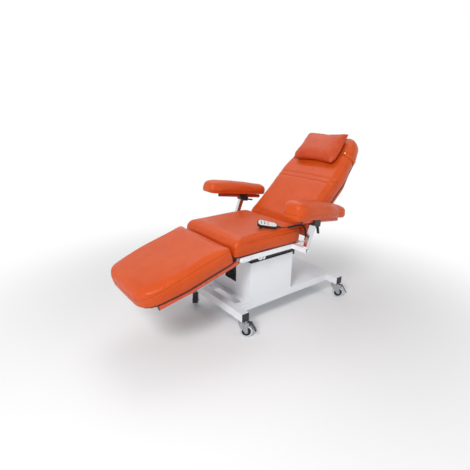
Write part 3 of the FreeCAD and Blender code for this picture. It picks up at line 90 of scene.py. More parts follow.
# %% Selecting and applying
def pick(*chosen):
    """Selects these objects only, and makes the first one active."""
    if bpy.context.object and bpy.context.object.mode != "OBJECT":
        bpy.ops.object.mode_set(mode="OBJECT")
    bpy.ops.object.select_all(action="DESELECT")
    for item in chosen:
        item.hide_viewport = False
        item.select_set(True)
    bpy.context.view_layer.objects.active = chosen[0]


def apply_all(piece):
    """Turns each live modifier into plain mesh."""
    pick(piece)
    for step in list(piece.modifiers):
        bpy.ops.object.modifier_apply(modifier=step.name)


def settle(piece):
    """Moves a piece's place and turn into its mesh."""
    pick(piece)
    bpy.ops.object.transform_apply(location=True, rotation=True, scale=True)


def finer(piece):
    """One round of subdivision."""
    step = piece.modifiers.new("finer", "SUBSURF")
    step.levels = step.render_levels = 1
    apply_all(piece)


print("helpers ready:", pick.__name__, apply_all.__name__, settle.__name__, finer.__name__)

# %% [markdown]
# ## The curly lead's route
# The hand control's lead runs over the seat's edge, drops behind the arm post and ends in the
# gland of the control box. A smooth spline through a few chosen points is its middle line.
# The curls are a helix around that line, so the line comes first and the curls read it.

# %% Route of the lead
lead_start = (0.24125, 0.06004, 0.62483)
lead_route = [
    lead_start,
    (0.2490, 0.0715, 0.6226),
    (0.2545, 0.0840, 0.6218),
    (0.2580, 0.1010, 0.6216),
    (0.2615, 0.1200, 0.6224),
    (0.2660, 0.1410, 0.6244),
    (0.2720, 0.1630, 0.6270),
    (0.2790, 0.1850, 0.6276),
    (0.2860, 0.2055, 0.6180),
    (0.2890, 0.2190, 0.5980),
    (0.2898, 0.2250, 0.5710),
    (0.2900, 0.2270, 0.5410),
    (0.2895, 0.2290, 0.5110),
    (0.2860, 0.2320, 0.4820),
    (0.2750, 0.2370, 0.4600),
    (0.2540, 0.2420, 0.4440),
    (0.2260, 0.2455, 0.4330),
    (0.1900, 0.2455, 0.4330),
]


def smooth_line(name, points, steps=12):
    """One open spline that passes smoothly along the points."""
    data = bpy.data.curves.new(name, "CURVE")
    data.dimensions = "3D"
    data.resolution_u = steps
    spline = data.splines.new("NURBS")
    spline.points.add(len(points) - 1)
    for control, place in zip(spline.points, points):
        control.co = (*place, 1.0)
    spline.order_u = 3
    spline.use_endpoint_u = True
    line = bpy.data.objects.new(name, data)
    bpy.context.scene.collection.objects.link(line)
    return line


route_line = smooth_line("lead_route_line", lead_route)
bpy.context.view_layer.update()
route_mesh = bpy.data.meshes.new_from_object(route_line)
route_points = [v.co.copy() for v in route_mesh.vertices]
bpy.data.objects.remove(route_line)
route_length = sum((b - a).length for a, b in zip(route_points, route_points[1:]))
print("route length, m:", round(route_length, 4))

# %% [markdown]
# A side direction is carried along the line without letting it spin. The helix turns about it,
# starts small where the straight end grows into curls, and shrinks again before the straight
# tail that runs into the gland. A screw modifier could wind it too, but not along a bent line.

# %% Curls
lead_radius = 0.0022
curl_radius = 0.0046
curl_pitch = 0.0056
curls_from = 0.040
curls_count = 44
points_per_curl = 14
head_steps, tail_steps = 8, 24


def walk(points, distances):
    """Place, direction and a side direction at each distance along a line of points."""
    found = []
    side = None
    index = 0
    passed = 0.0
    for distance in distances:
        step = points[index + 1] - points[index]
        while index < len(points) - 2 and passed + step.length < distance:
            passed += step.length
            index += 1
            step = points[index + 1] - points[index]
        ahead = step.normalized()
        if side is None:
            side = ahead.cross(Vector((0, 0, 1)))
        side = (side - ahead * side.dot(ahead)).normalized()
        found.append((points[index] + ahead * (distance - passed), ahead, side.copy()))
    return found


curl_steps = curls_count * points_per_curl
curl_distances = [curls_from + curl_pitch * i / points_per_curl for i in range(curl_steps + 1)]
head_distances = [curls_from * i / head_steps for i in range(head_steps)]
lead_points = [place for place, _, _ in walk(route_points, head_distances)]
for i, (middle, ahead, side) in enumerate(walk(route_points, curl_distances)):
    grow = min(1.0, i / points_per_curl, (curl_steps - i) / points_per_curl)
    turn = 2 * math.pi * i / points_per_curl
    outward = side * math.cos(turn) + ahead.cross(side) * math.sin(turn)
    lead_points.append(middle + outward * curl_radius * grow)
tail_from = curl_distances[-1]
tail_length = route_length - tail_from
tail_distances = [tail_from + tail_length * i / tail_steps for i in range(1, tail_steps + 1)]
lead_points += [place for place, _, _ in walk(route_points, tail_distances)]
lead = smooth_line("curly_lead", lead_points, steps=2)
bpy.context.view_layer.update()
lead_path = [v.co.copy() for v in bpy.data.meshes.new_from_object(lead).vertices]
lead.data.bevel_depth = lead_radius
lead.data.bevel_resolution = 2
lead.data.use_fill_caps = True
pick(lead)
bpy.ops.object.convert(target="MESH")
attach(lead, "seat")
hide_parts("handset_lead")
print("lead points:", len(lead_points))

# %% [markdown]
# ## Finishes
# Every finish starts from one plain shader. Its colour is written as it looks on a screen and
# turned into the linear values that light needs. Patterns read Object coordinates, in metres,
# so a grain keeps its real size on each piece.

# %% Shader helpers
def screen_colour(red, green, blue):
    """A colour as seen on a screen, 0 to 255, as the linear colour that the shader uses."""
    linear = []
    for part in (red, green, blue):
        part = part / 255.0
        linear.append(part / 12.92 if part <= 0.04045 else ((part + 0.055) / 1.055) ** 2.4)
    return (*linear, 1.0)


class Finish:
    """A material with its shader, and a chain of bumps that ends at the shader's normal."""

    def __init__(self, name, colour, roughness, metallic=0.0):
        self.material = bpy.data.materials.new(name)
        self.material.use_nodes = True
        self.tree = self.material.node_tree
        self.shader = self.tree.nodes["Principled BSDF"]
        self.colour = screen_colour(*colour)
        self.shader.inputs["Base Color"].default_value = self.colour
        self.shader.inputs["Roughness"].default_value = roughness
        self.shader.inputs["Metallic"].default_value = metallic
        self.place = self.node("ShaderNodeTexCoord").outputs["Object"]
        self.normal = None
        self.colour_out = None

    def node(self, kind, **values):
        made = self.tree.nodes.new(kind)
        for key, value in values.items():
            setattr(made, key, value)
        return made

    def wire(self, source, target):
        self.tree.links.new(source, target)

    def noise(self, scale, detail=3.0, rough=0.5, stretch=None, distortion=0.0):
        """A cloudy pattern. A stretch of three numbers draws it out along an axis."""
        cloud = self.node("ShaderNodeTexNoise")
        cloud.inputs["Scale"].default_value = scale
        cloud.inputs["Detail"].default_value = detail
        cloud.inputs["Roughness"].default_value = rough
        cloud.inputs["Distortion"].default_value = distortion
        if stretch:
            mapping = self.node("ShaderNodeMapping")
            mapping.inputs["Scale"].default_value = stretch
            self.wire(self.place, mapping.inputs["Vector"])
            self.wire(mapping.outputs["Vector"], cloud.inputs["Vector"])
        else:
            self.wire(self.place, cloud.inputs["Vector"])
        return cloud.outputs["Fac"]

    def cells(self, scale, feature="F1"):
        """Small cells, as in the grain of vinyl or cast metal."""
        grain = self.node("ShaderNodeTexVoronoi", feature=feature)
        grain.inputs["Scale"].default_value = scale
        self.wire(self.place, grain.inputs["Vector"])
        return grain.outputs["Distance"]

    def ramp(self, value, stops):
        """Bends a pattern's values: a list of (position, brightness)."""
        ramp = self.node("ShaderNodeValToRGB")
        band = ramp.color_ramp
        band.elements[0].position, band.elements[-1].position = stops[0][0], stops[-1][0]
        for position, _ in stops[1:-1]:
            band.elements.new(position)
        for element, (_, bright) in zip(band.elements, stops):
            element.color = (bright, bright, bright, 1.0)
        self.wire(value, ramp.inputs["Fac"])
        return ramp.outputs["Color"]

    def tint(self, value, colour):
        """Mixes another colour in where a pattern is bright."""
        mix = self.node("ShaderNodeMix", data_type="RGBA")
        self.wire(value, mix.inputs["Factor"])
        if self.colour_out is None:
            mix.inputs["A"].default_value = self.colour
        else:
            self.wire(self.colour_out, mix.inputs["A"])
        mix.inputs["B"].default_value = screen_colour(*colour)
        self.colour_out = mix.outputs["Result"]
        self.wire(self.colour_out, self.shader.inputs["Base Color"])

    def mottle(self, pattern, start, end, most, colour):
        """Brings another colour in as a pattern rises from start to end."""
        self.tint(self.ramp(pattern, [(start, 0.0), (end, most)]), colour)

    def gloss(self, value, low, high):
        """Lets a pattern move the roughness between two values."""
        spread = self.node("ShaderNodeMapRange")
        spread.inputs["To Min"].default_value = low
        spread.inputs["To Max"].default_value = high
        self.wire(value, spread.inputs["Value"])
        self.wire(spread.outputs["Result"], self.shader.inputs["Roughness"])

    def bump(self, value, height, strength=1.0):
        """Raises the surface by a height in metres where a pattern is bright."""
        bump = self.node("ShaderNodeBump")
        bump.inputs["Strength"].default_value = strength
        bump.inputs["Distance"].default_value = height
        self.wire(value, bump.inputs["Height"])
        if self.normal is not None:
            self.wire(self.normal, bump.inputs["Normal"])
        self.normal = bump.outputs["Normal"]
        self.wire(self.normal, self.shader.inputs["Normal"])

    def math(self, what, first, second=0.0, third=0.0):
        """One sum on sockets or numbers."""
        made = self.node("ShaderNodeMath", operation=what)
        for socket, value in zip(made.inputs, (first, second, third)):
            if isinstance(value, (int, float)):
                socket.default_value = value
            else:
                self.wire(value, socket)
        return made.outputs[0]

    def mark(self, name):
        """A value that was stored on the mesh."""
        return self.node("ShaderNodeAttribute", attribute_name=name).outputs["Fac"]

    def rounded(self, radius):
        """Lets light catch a hard edge as if it had a small round."""
        edge = self.node("ShaderNodeBevel", samples=4)
        edge.inputs["Radius"].default_value = radius
        self.normal = edge.outputs["Normal"]
        self.wire(self.normal, self.shader.inputs["Normal"])


# %% [markdown]
# ### Vinyl
# The upholstery is orange-brown vinyl: a fine pebble grain, faint creases and a soft shine that
# wanders a little. Along the seams and channels a band of painted shade darkens the colour. The
# stitches read two values that are stored on each cushion later: the distance from the seam and
# the distance along it; the painted shade reads the distance from the seam too.

# %% Vinyl
stitch_off, stitch_width, stitches_per_metre = 0.0062, 0.0014, 190.0


def vinyl(name, colour, dark, light, shine=0.36):
    finish = Finish(name, colour, shine)
    finish.shader.inputs["Specular IOR Level"].default_value = 0.24
    finish.shader.inputs["Coat Weight"].default_value = 0.05
    finish.shader.inputs["Coat Roughness"].default_value = 0.34
    finish.mottle(finish.noise(5.0, 4.0, 0.55), 0.35, 0.7, 0.55, light)
    finish.mottle(finish.noise(17.0, 5.0, 0.6, distortion=0.6), 0.5, 0.75, 0.35, dark)
    off = finish.math("SUBTRACT", finish.mark("seam_off"), 1.0)
    closeness = finish.math("MULTIPLY", finish.math("ABSOLUTE", off), 120.0)
    # Painted shade: the colour darkens in a narrow band on each seam, channel and pillow rim.
    painted_seam_shade = finish.ramp(closeness, [(0.04, 0.4), (0.3, 0.0)])
    finish.tint(painted_seam_shade, [0.7 * c for c in dark])
    stitch_line = finish.math("COMPARE", off, stitch_off, stitch_width / 2)
    stitch_step = finish.math("FRACT", finish.math(
        "MULTIPLY", finish.mark("seam_run"), stitches_per_metre,
    ))
    stitch = finish.math("MULTIPLY", stitch_line, finish.math("LESS_THAN", stitch_step, 0.68))
    finish.tint(stitch, [min(255, 1.12 * c) for c in light])
    finish.gloss(finish.noise(30.0, 4.0, 0.6), shine - 0.07, shine + 0.1)
    finish.bump(finish.noise(26.0, 6.0, 0.62, distortion=1.1), 0.0011)
    finish.bump(finish.cells(620.0), 0.00016)
    finish.bump(stitch, 0.0006)
    return finish.material


cushion_vinyl = vinyl("orange_vinyl", (206, 77, 18), (184, 60, 14), (214, 90, 34))
pillow_cover = vinyl("pillow_vinyl", (194, 72, 30), (166, 52, 22), (204, 86, 46), 0.42)
print("vinyl nodes:", len(cushion_vinyl.node_tree.nodes))

# %% [markdown]
# ### Paint
# White powder coat has a faint ripple like orange peel, and collects a little grey in patches
# and specks. The tubes under the leg and back cushions are enamelled in the colour of the
# vinyl. Each is the plain shader with two or three patterns: one for shade, one for shine and
# one for the ripple.

# %% Paint
white_coat = Finish("white_powder_coat", (240, 243, 247), 0.3)
white_coat.rounded(0.0012)
white_coat.mottle(white_coat.noise(3.5, 6.0, 0.65), 0.5, 0.85, 0.35, (224, 227, 231))
white_coat.mottle(white_coat.noise(60.0, 5.0, 0.7), 0.66, 0.74, 0.3, (208, 208, 206))
white_coat.gloss(white_coat.noise(14.0, 4.0), 0.24, 0.4)
white_coat.bump(white_coat.noise(420.0, 2.0), 0.00012)

enamel = Finish("orange_enamel", (204, 70, 24), 0.26)
enamel.shader.inputs["Coat Weight"].default_value = 0.4
enamel.shader.inputs["Coat Roughness"].default_value = 0.12
enamel.mottle(enamel.noise(9.0, 5.0), 0.45, 0.8, 0.5, (184, 66, 36))
enamel.gloss(enamel.noise(40.0, 4.0), 0.2, 0.34)
enamel.bump(enamel.noise(350.0, 2.0), 0.00008)

black_coat = Finish("black_powder_coat", (24, 25, 28), 0.42)
black_coat.rounded(0.0008)
black_coat.mottle(black_coat.noise(12.0, 5.0), 0.5, 0.85, 0.5, (48, 49, 52))
black_coat.gloss(black_coat.noise(25.0, 4.0), 0.34, 0.55)
black_coat.bump(black_coat.cells(900.0), 0.0001)
print("paints made")

# %% [markdown]
# The arm posts and the actuator rods are chrome: nearly a mirror, with streaks where a cloth has
# wiped them. The lift columns and the casters' forks are zinc plate, which is duller and has a
# faint pattern of crystals. Both are one shader with full metal, because only the roughness and
# the patterns differ.

# %% Metal
chrome = Finish("chrome", (214, 216, 220), 0.1, 1.0)
wiped_streaks = chrome.noise(22.0, 5.0, stretch=(1, 1, 0.3))
chrome.mottle(wiped_streaks, 0.45, 0.8, 0.5, (176, 178, 184))
chrome.gloss(chrome.noise(55.0, 5.0), 0.05, 0.2)
chrome.bump(chrome.noise(260.0, 2.0), 0.00004)

zinc = Finish("zinc_plate", (186, 188, 192), 0.3, 1.0)
zinc.rounded(0.0006)
zinc.mottle(zinc.cells(90.0), 0.2, 0.8, 0.45, (150, 152, 158))
zinc.gloss(zinc.noise(70.0, 5.0), 0.22, 0.42)
zinc.bump(zinc.noise(180.0, 3.0), 0.00008)
print("metals made")

# %% [markdown]
# Moulded plastic has a fine even grain and small changes of shade. Keys, hubs, tyres and the
# stained boards differ from it only in colour, roughness and size of grain, so one function
# makes them all.

# %% Plastic and rubber
def plastic(name, colour, roughness, speck, grain=900.0):
    finish = Finish(name, colour, roughness)
    finish.rounded(0.0005)
    finish.mottle(finish.noise(35.0, 5.0), 0.5, 0.85, 0.45, speck)
    finish.gloss(finish.noise(60.0, 4.0), roughness - 0.07, roughness + 0.1)
    finish.bump(finish.cells(grain), 0.00012)
    return finish.material


black_plastic = plastic("black_plastic", (26, 26, 30), 0.4, (52, 52, 56))
white_plastic = plastic("white_plastic", (228, 228, 224), 0.3, (212, 212, 210))
dark_key = plastic("slate_key", (84, 92, 116), 0.36, (104, 110, 130), 1500.0)
red_key = plastic("rose_key", (206, 112, 116), 0.36, (214, 130, 132), 1500.0)
wheel_hub = plastic("hub_plastic", (18, 18, 20), 0.38, (40, 40, 44))
tyre_rubber = plastic("grey_rubber", (206, 211, 218), 0.5, (176, 181, 188), 1200.0)
board_stain = plastic("stained_board", (96, 38, 22), 0.62, (112, 48, 28), 700.0)
print("plastics made")

# %% [markdown]
# ## Dressing the hard pieces
# Each hard node takes one finish. The wheels take two, and their faces are sorted by where they
# lie: a tyre is further from its axle than the hub.

# %% Finishes on the hard nodes
finish_of = {
    white_coat.material: [
        "crossbars", "base_side_rails", "base_tray", "pedestal_cover", "seat_rails",
        "seat_cross_tubes", "leg_hinge_brackets", "back_hinge_brackets",
    ],
    black_coat.material: ["lift_shroud", "actuator_brackets"],
    enamel.material: [
        "leg_side_tubes", "back_side_tubes", "leg_cross_tubes", "back_cross_tubes",
        "arm_rail_left", "arm_rail_right",
    ],
    chrome.material: ["arm_post_left", "arm_post_right", "leg_actuator_rod", "back_actuator_rod"],
    zinc.material: ["lift_outer_column", "lift_inner_column", "caster_stems"],
    black_plastic: [
        "crossbar_end_caps", "control_box", "handset_case", "arm_lever_left", "arm_lever_right",
        "leg_actuator_body", "back_actuator_body",
    ],
    white_plastic: ["handset_keypad"],
    board_stain: ["seat_board", "leg_board", "back_board"],
    dark_key: ["handset_key_1", "handset_key_2", "handset_key_3", "handset_key_4"],
    red_key: ["handset_key_5", "handset_key_6"],
}
for corner in ("front_left", "front_right", "rear_left", "rear_right"):
    finish_of[zinc.material].append("caster_fork_" + corner)
    finish_of[black_plastic].append("caster_pedal_" + corner)


def dress(name, *materials):
    """Gives a node its materials, the first one on every face."""
    piece = nodes[name]
    piece.data.materials.clear()
    for material in materials:
        piece.data.materials.append(material)
    for face in piece.data.polygons:
        face.material_index = 0
    return piece


for material, names in finish_of.items():
    for name in names:
        dress(name, material)
print("nodes with one finish:", sum(len(names) for names in finish_of.values()))

# %% Tyres and hubs
tyre_inner_radius = 0.0315
hub_reach = 1.07 * tyre_inner_radius
for corner in ("front_left", "front_right", "rear_left", "rear_right"):
    wheel = dress("caster_wheel_" + corner, tyre_rubber, wheel_hub)
    low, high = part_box("caster_wheel_" + corner)
    axle = (low + high) / 2
    for face in wheel.data.polygons:
        far = max((wheel.data.vertices[v].co - axle).length for v in face.vertices)
        if far < hub_reach:
            face.material_index = 1
print("wheels dressed")

# %% [markdown]
# Some nodes hold pieces of two finishes: a tube and the black plugs in its ends, or an arm post
# and the black clamp on its top. A plug's flange is the last few millimetres of its tube, and
# what lies outside a post's own section is its clamp.

# %% Plugs and clamps
flange_reach = 0.0043


def faces_black(name, chosen):
    """A node's faces that pass a test turn black."""
    piece = nodes[name]
    piece.data.materials.append(black_plastic)
    count = 0
    for face in piece.data.polygons:
        if chosen([piece.data.vertices[v].co for v in face.vertices]):
            face.material_index = 1
            count += 1
    print(name, "black faces:", count)


def blacken_end(name, direction, wanted=lambda place: True):
    """The flange at the end of a tube, on the points that are wanted."""
    direction = Vector(direction).normalized()
    ends = [v.co.dot(direction) for v in nodes[name].data.vertices if wanted(v.co)]
    limit = max(ends) - flange_reach
    faces_black(name, lambda corners: all(wanted(c) and c.dot(direction) > limit for c in corners))


leg_slope, back_slope, rail_tilt = math.radians(16.0), math.radians(43.4), math.radians(7.5)
leg_tube_turn = math.atan2(0.020, 0.188)
back_tube_turn = math.atan2(0.037, 0.138)
for sign in (1, -1):
    def on_this_side(place, sign=sign):
        return place.x * sign > 0

    blacken_end("leg_side_tubes", (
        -sign * math.sin(leg_tube_turn), -math.cos(leg_tube_turn) * math.cos(leg_slope),
        -math.cos(leg_tube_turn) * math.sin(leg_slope),
    ), on_this_side)
    blacken_end("back_side_tubes", (
        -sign * math.sin(back_tube_turn), math.cos(back_tube_turn) * math.cos(back_slope),
        math.cos(back_tube_turn) * math.sin(back_slope),
    ), on_this_side)

rail_splay = {"left": math.radians(4.0), "right": math.radians(-4.0)}
post_foot = {"left": Vector((0.353, 0.157, 0.490)), "right": Vector((-0.353, 0.157, 0.490))}
post_top = {"left": 0.1613, "right": 0.1893}
post_lean = math.radians(20.8)
post_half_width, post_half_depth = 0.0127, 0.0152


def is_clamp(corners, foot, top):
    """Whether a face lies outside the post's own section, or above its top."""
    for corner in corners:
        away = corner - foot
        up = away.y * math.sin(post_lean) + away.z * math.cos(post_lean)
        deep = away.y * math.cos(post_lean) - away.z * math.sin(post_lean)
        if abs(away.x) > post_half_width or abs(deep) > post_half_depth or up > top:
            return True
    return False


for side, splay in rail_splay.items():
    rearward = Vector((
        -math.sin(splay) * math.cos(rail_tilt), math.cos(splay) * math.cos(rail_tilt),
        -math.sin(rail_tilt),
    ))
    blacken_end("arm_rail_" + side, rearward)
    blacken_end("arm_rail_" + side, -rearward)
    foot, top = post_foot[side], post_top[side]
    faces_black("arm_post_" + side, lambda corners: is_clamp(corners, foot, top))

# %% [markdown]
# ## Upholstery
# A cushion is foam in a sewn cover. It could be sculpted or subdivided from a box, but foam
# pushes its cover out evenly, and a little air pressure in a cloth simulation does just that.
# So the plain solid is copied, remeshed into even squares and swollen, while the face that lies
# on its board is held. After that the seams are pressed in, and two values are stored for the
# stitches and for the shade that is painted along the seams.

# %% Copy a soft solid
merge_distance = 0.00005
plain_layers = ("position", ".edge_verts", ".corner_vert", ".corner_edge")


def soft_copy(node_name, name, square):
    """An even mesh in the shape of a soft node."""
    mesh = nodes[node_name].data.copy()
    piece = bpy.data.objects.new(name, mesh)
    bpy.context.scene.collection.objects.link(piece)
    mesh.materials.clear()
    for attribute in list(mesh.attributes):
        if attribute.name not in plain_layers and not attribute.is_required:
            mesh.attributes.remove(attribute)
    pick(piece)
    bpy.ops.object.mode_set(mode="EDIT")
    bpy.ops.mesh.select_all(action="SELECT")
    bpy.ops.mesh.remove_doubles(threshold=merge_distance)
    bpy.ops.mesh.normals_make_consistent(inside=False)
    bpy.ops.object.mode_set(mode="OBJECT")
    mesh.remesh_voxel_size = square
    bpy.ops.object.voxel_remesh()
    smooth = piece.modifiers.new("smooth", "SMOOTH")
    smooth.factor = 0.5
    smooth.iterations = 8
    apply_all(piece)
    return piece


# %% Swell a cushion
def swell(piece, held, pressure, cap, shrink=0.002, frames=12):
    """Blows a cushion up a little. held says which points stay on the board."""
    rest = [v.co.copy() for v in piece.data.vertices]
    normals = [v.normal.copy() for v in piece.data.vertices]
    kept = [bool(held(co, n)) for co, n in zip(rest, normals)]
    for vertex, normal, fixed in zip(piece.data.vertices, normals, kept):
        if not fixed:
            vertex.co -= normal * shrink
    group = piece.vertex_groups.new(name="held")
    group.add([i for i, fixed in enumerate(kept) if fixed], 1.0, "REPLACE")
    cloth = piece.modifiers.new("cloth", "CLOTH")
    cloth.settings.quality = 3
    cloth.settings.mass = 0.3
    cloth.settings.tension_stiffness = 22.0
    cloth.settings.compression_stiffness = 14.0
    cloth.settings.shear_stiffness = 8.0
    cloth.settings.bending_stiffness = 0.6
    cloth.settings.air_damping = 3.0
    cloth.settings.vertex_group_mass = "held"
    cloth.settings.use_pressure = True
    cloth.settings.uniform_pressure_force = pressure
    cloth.settings.effector_weights.gravity = 0.0
    cloth.collision_settings.use_collision = False
    cloth.point_cache.frame_start = 1
    cloth.point_cache.frame_end = frames
    for number in range(1, frames + 1):
        bpy.context.scene.frame_set(number)
    apply_all(piece)
    bpy.context.scene.frame_set(1)
    piece.vertex_groups.clear()
    furthest = 0.0
    for vertex, start in zip(piece.data.vertices, rest):
        move = vertex.co - start
        if move.length > cap:
            vertex.co = start + move * (cap / move.length)
        furthest = max(furthest, move.length)
    print(piece.name, "swelled by up to", round(min(furthest, cap) * 1000, 1), "mm")


# %% [markdown]
# Each section of the couch has its own axes: across, along from its hinge, and out of its face.
# Seams are easy to describe in those axes, whatever the slope of the section.

# %% Axes of each section
class Section:
    """A hinge point and the directions across, along and outward of a tilted section."""

    def __init__(self, hinge, along, outward, across=(1, 0, 0)):
        self.hinge = Vector(hinge)
        self.along = Vector(along).normalized()
        self.outward = Vector(outward).normalized()
        self.across = Vector(across).normalized()

    def inside(self, point):
        """Across, along and outward distances of a point."""
        away = point - self.hinge
        return Vector((away.dot(self.across), away.dot(self.along), away.dot(self.outward)))

    def turned(self, direction):
        return Vector((
            direction.dot(self.across), direction.dot(self.along), direction.dot(self.outward),
        ))

    def point(self, across, along, outward):
        return self.hinge + self.across * across + self.along * along + self.outward * outward


leg_section = Section(
    (0, -0.250, 0.490), (0, -math.cos(leg_slope), -math.sin(leg_slope)),
    (0, -math.sin(leg_slope), math.cos(leg_slope)),
)
back_section = Section(
    (0, 0.252, 0.490), (0, math.cos(back_slope), math.sin(back_slope)),
    (0, -math.sin(back_slope), math.cos(back_slope)),
)
seat_section = Section((0, 0, 0), (0, 1, 0), (0, 0, 1))
print("foot end at", [round(c, 3) for c in leg_section.point(0, 0.6, 0.1)])

# %% Seams
def stair(low, high, value):
    """Rises smoothly from 0 to 1 between two values."""
    share = max(0.0, min(1.0, (value - low) / (high - low)))
    return share * share * (3 - 2 * share)


channel_depth, channel_width, tuck_share = 0.0024, 0.006, 0.9
seam_width, puff_at, puff_width, pucker_fade = 0.0036, 0.012, 0.009, 0.018
furthest_mark = 0.05


def bell(away, width):
    """1 at nought, falling smoothly to almost nothing at twice the width."""
    return math.exp(-((away / width) ** 2))


def marked(off):
    """The stored distance from a seam: 1 is on the seam, and far points all say the same."""
    return 1.0 + max(-furthest_mark, min(furthest_mark, off))


def store(piece, **marks):
    """Keeps a value on each point, which the vinyl's stitches and its painted seam shade read."""
    for name, values in marks.items():
        layer = piece.data.attributes.new(name, "FLOAT", "POINT")
        layer.data.foreach_set("value", values)


def sew(piece, section, side_seam, channels=(), depth=0.0012, pucker=0.0012, seed=0.0):
    """Presses in the seam round the side band and the channels across the top."""
    mesh = piece.data
    off_values, run_values = [], []
    moved = []
    for vertex in mesh.vertices:
        place = section.inside(vertex.co)
        facing = section.turned(vertex.normal)
        on_side = stair(0.2, 0.6, 1.0 - abs(facing.z))
        run = place.y if abs(facing.x) > abs(facing.y) else place.x
        off = place.z - side_seam(place.y)
        push = 0.0
        if on_side > 0.0:
            near = bell(off, seam_width)
            puffed = bell(abs(off) - puff_at, puff_width)
            wave = noise.noise(Vector((run * 46.0, off * 30.0, seed)))
            wave *= math.exp(-abs(off) / pucker_fade)
            push += on_side * (-depth * near + pucker * (0.5 * puffed + wave))
        shown_off = off if on_side > 0.3 else furthest_mark
        for line in channels:
            gap = place.y - line
            if facing.z > 0.2:
                push -= channel_depth * bell(gap, channel_width) * stair(0.2, 0.6, facing.z)
                if abs(gap) < abs(shown_off):
                    shown_off, run = gap, place.x
        off_values.append(marked(shown_off))
        run_values.append(run)
        moved.append(vertex.co + vertex.normal * push)
    for vertex, place in zip(mesh.vertices, moved):
        vertex.co = place
    store(piece, seam_off=off_values, seam_run=run_values)


def creases(piece, size, height, seed):
    """Gives the foam slow unevenness, so that no face is dead flat."""
    shift = Vector((seed, 2 * seed, 3 * seed))
    moved = [
        v.co + v.normal * height * noise.noise(v.co / size + shift) for v in piece.data.vertices
    ]
    for vertex, place in zip(piece.data.vertices, moved):
        vertex.co = place


def press(piece, section, height, start, end):
    """Flattens the foam where something lies on it."""
    for vertex in piece.data.vertices:
        place = section.inside(vertex.co)
        under = stair(start - 0.04, start, place.y) * (1 - stair(end, end + 0.02, place.y))
        vertex.co -= section.outward * max(0.0, place.z - height) * under


def tuck(piece, section, end):
    """Draws the foam back to its solid's own end, where it would press on a neighbour."""
    for vertex in piece.data.vertices:
        past = end - section.inside(vertex.co).y
        vertex.co += section.along * max(0.0, past) * tuck_share


def finish_soft(piece, material, *replaced, body, fill, slot):
    """Smooths a cushion, dresses it and puts it on its body."""
    piece.data.materials.clear()
    piece.data.materials.append(material)
    for face in piece.data.polygons:
        face.use_smooth = True
    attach(piece, body)
    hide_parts(*replaced)
    print(piece.name, "faces:", len(piece.data.polygons))


# %% [markdown]
# ### Leg cushion
# A slab that narrows and thins towards the feet, with a band round its sides and a seam along
# the top edge of the band. Its seam can't be a straight line, because the cushion thins, so it
# is a height for each distance from the knee hinge.

# %% Leg cushion
leg_cushion_top, leg_seam_drop = 0.119, 0.020
leg_cushion = soft_copy("leg_cushion", "leg_cushion_cover", 0.006)
swell(leg_cushion, lambda co, n: leg_section.inside(co).z < 0.024, 4.0, 0.006)
finer(leg_cushion)
creases(leg_cushion, 0.11, 0.0016, 3.1)


def leg_seam(along):
    """Height of the seam above the hinge line: it drops as the cushion thins."""
    drop = 0.022 * stair(0.30, 0.60, along) + 0.010 * stair(0.52, 0.60, along)
    return leg_cushion_top - leg_seam_drop - drop


sew(leg_cushion, leg_section, leg_seam, seed=1.7)
leg_end = min(leg_section.inside(v.co).y for v in nodes["leg_cushion"].data.vertices)
tuck(leg_cushion, leg_section, leg_end)
finish_soft(leg_cushion, cushion_vinyl, "leg_cushion", body="leg", fill=0.85, slot="orange_vinyl")

# %% [markdown]
# ### Seat cushion
# A square slab with a big round at its front, where the knees bend. The arm posts and the back
# sit close to its sides, so its cap is small. When the leg section comes up level its cushion
# meets this one, so both are tucked back to their solids' ends there.

# %% Seat cushion
seat_cushion_top, seat_seam_drop = 0.614, 0.024
seat_cushion = soft_copy("seat_cushion", "seat_cushion_cover", 0.006)
swell(seat_cushion, lambda co, n: co.z < 0.521, 4.0, 0.006)
finer(seat_cushion)
creases(seat_cushion, 0.12, 0.002, 5.3)


def seat_seam(along):
    """The seam dips over the round front edge."""
    return seat_cushion_top - seat_seam_drop - 0.030 * stair(-0.25, -0.30, along)


sew(seat_cushion, seat_section, seat_seam, seed=4.2)
tuck(seat_cushion, seat_section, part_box("seat_cushion")[0].y)
finish_soft(
    seat_cushion, cushion_vinyl, "seat_cushion", body="seat", fill=0.85, slot="orange_vinyl",
)

# %% [markdown]
# ### Back cushion
# The longest slab. Two channels are sewn across it at the small of the back, and its head end
# narrows behind the pillow. The pillow's weight is shown by flattening the foam under it, which
# is simpler than letting two simulations meet.

# %% Back cushion
back_cushion_top, back_seam_drop = 0.097, 0.023
pressed_height, pressed_from, pressed_to = 0.1032, 0.55, 0.82
back_cushion = soft_copy("back_cushion", "back_cushion_cover", 0.007)
swell(back_cushion, lambda co, n: back_section.inside(co).z < 0.015, 4.0, 0.006)
finer(back_cushion)
creases(back_cushion, 0.13, 0.002, 7.9)
press(back_cushion, back_section, pressed_height, pressed_from, pressed_to)


def back_seam(along):
    """The seam drops where the head end rounds off."""
    return back_cushion_top - back_seam_drop - 0.02 * stair(0.78, 0.835, along)


sew(back_cushion, back_section, back_seam, channels=(0.409, 0.446), seed=9.1)
finish_soft(
    back_cushion, cushion_vinyl, "back_cushion", body="back", fill=0.85, slot="orange_vinyl",
)

# %% [markdown]
# ### Arm pads
# Long loaves that are thick at the front and thin at the rear, each on its own tilted rail. The
# foam hangs a little over the rail's front end, so the front is let down after it is swollen.

# %% Arm pads
def pad_seam(along):
    """The seam under the roll drops where the pad hangs over its rail's front end."""
    return -0.020 - 0.006 * stair(-0.10, -0.16, along)


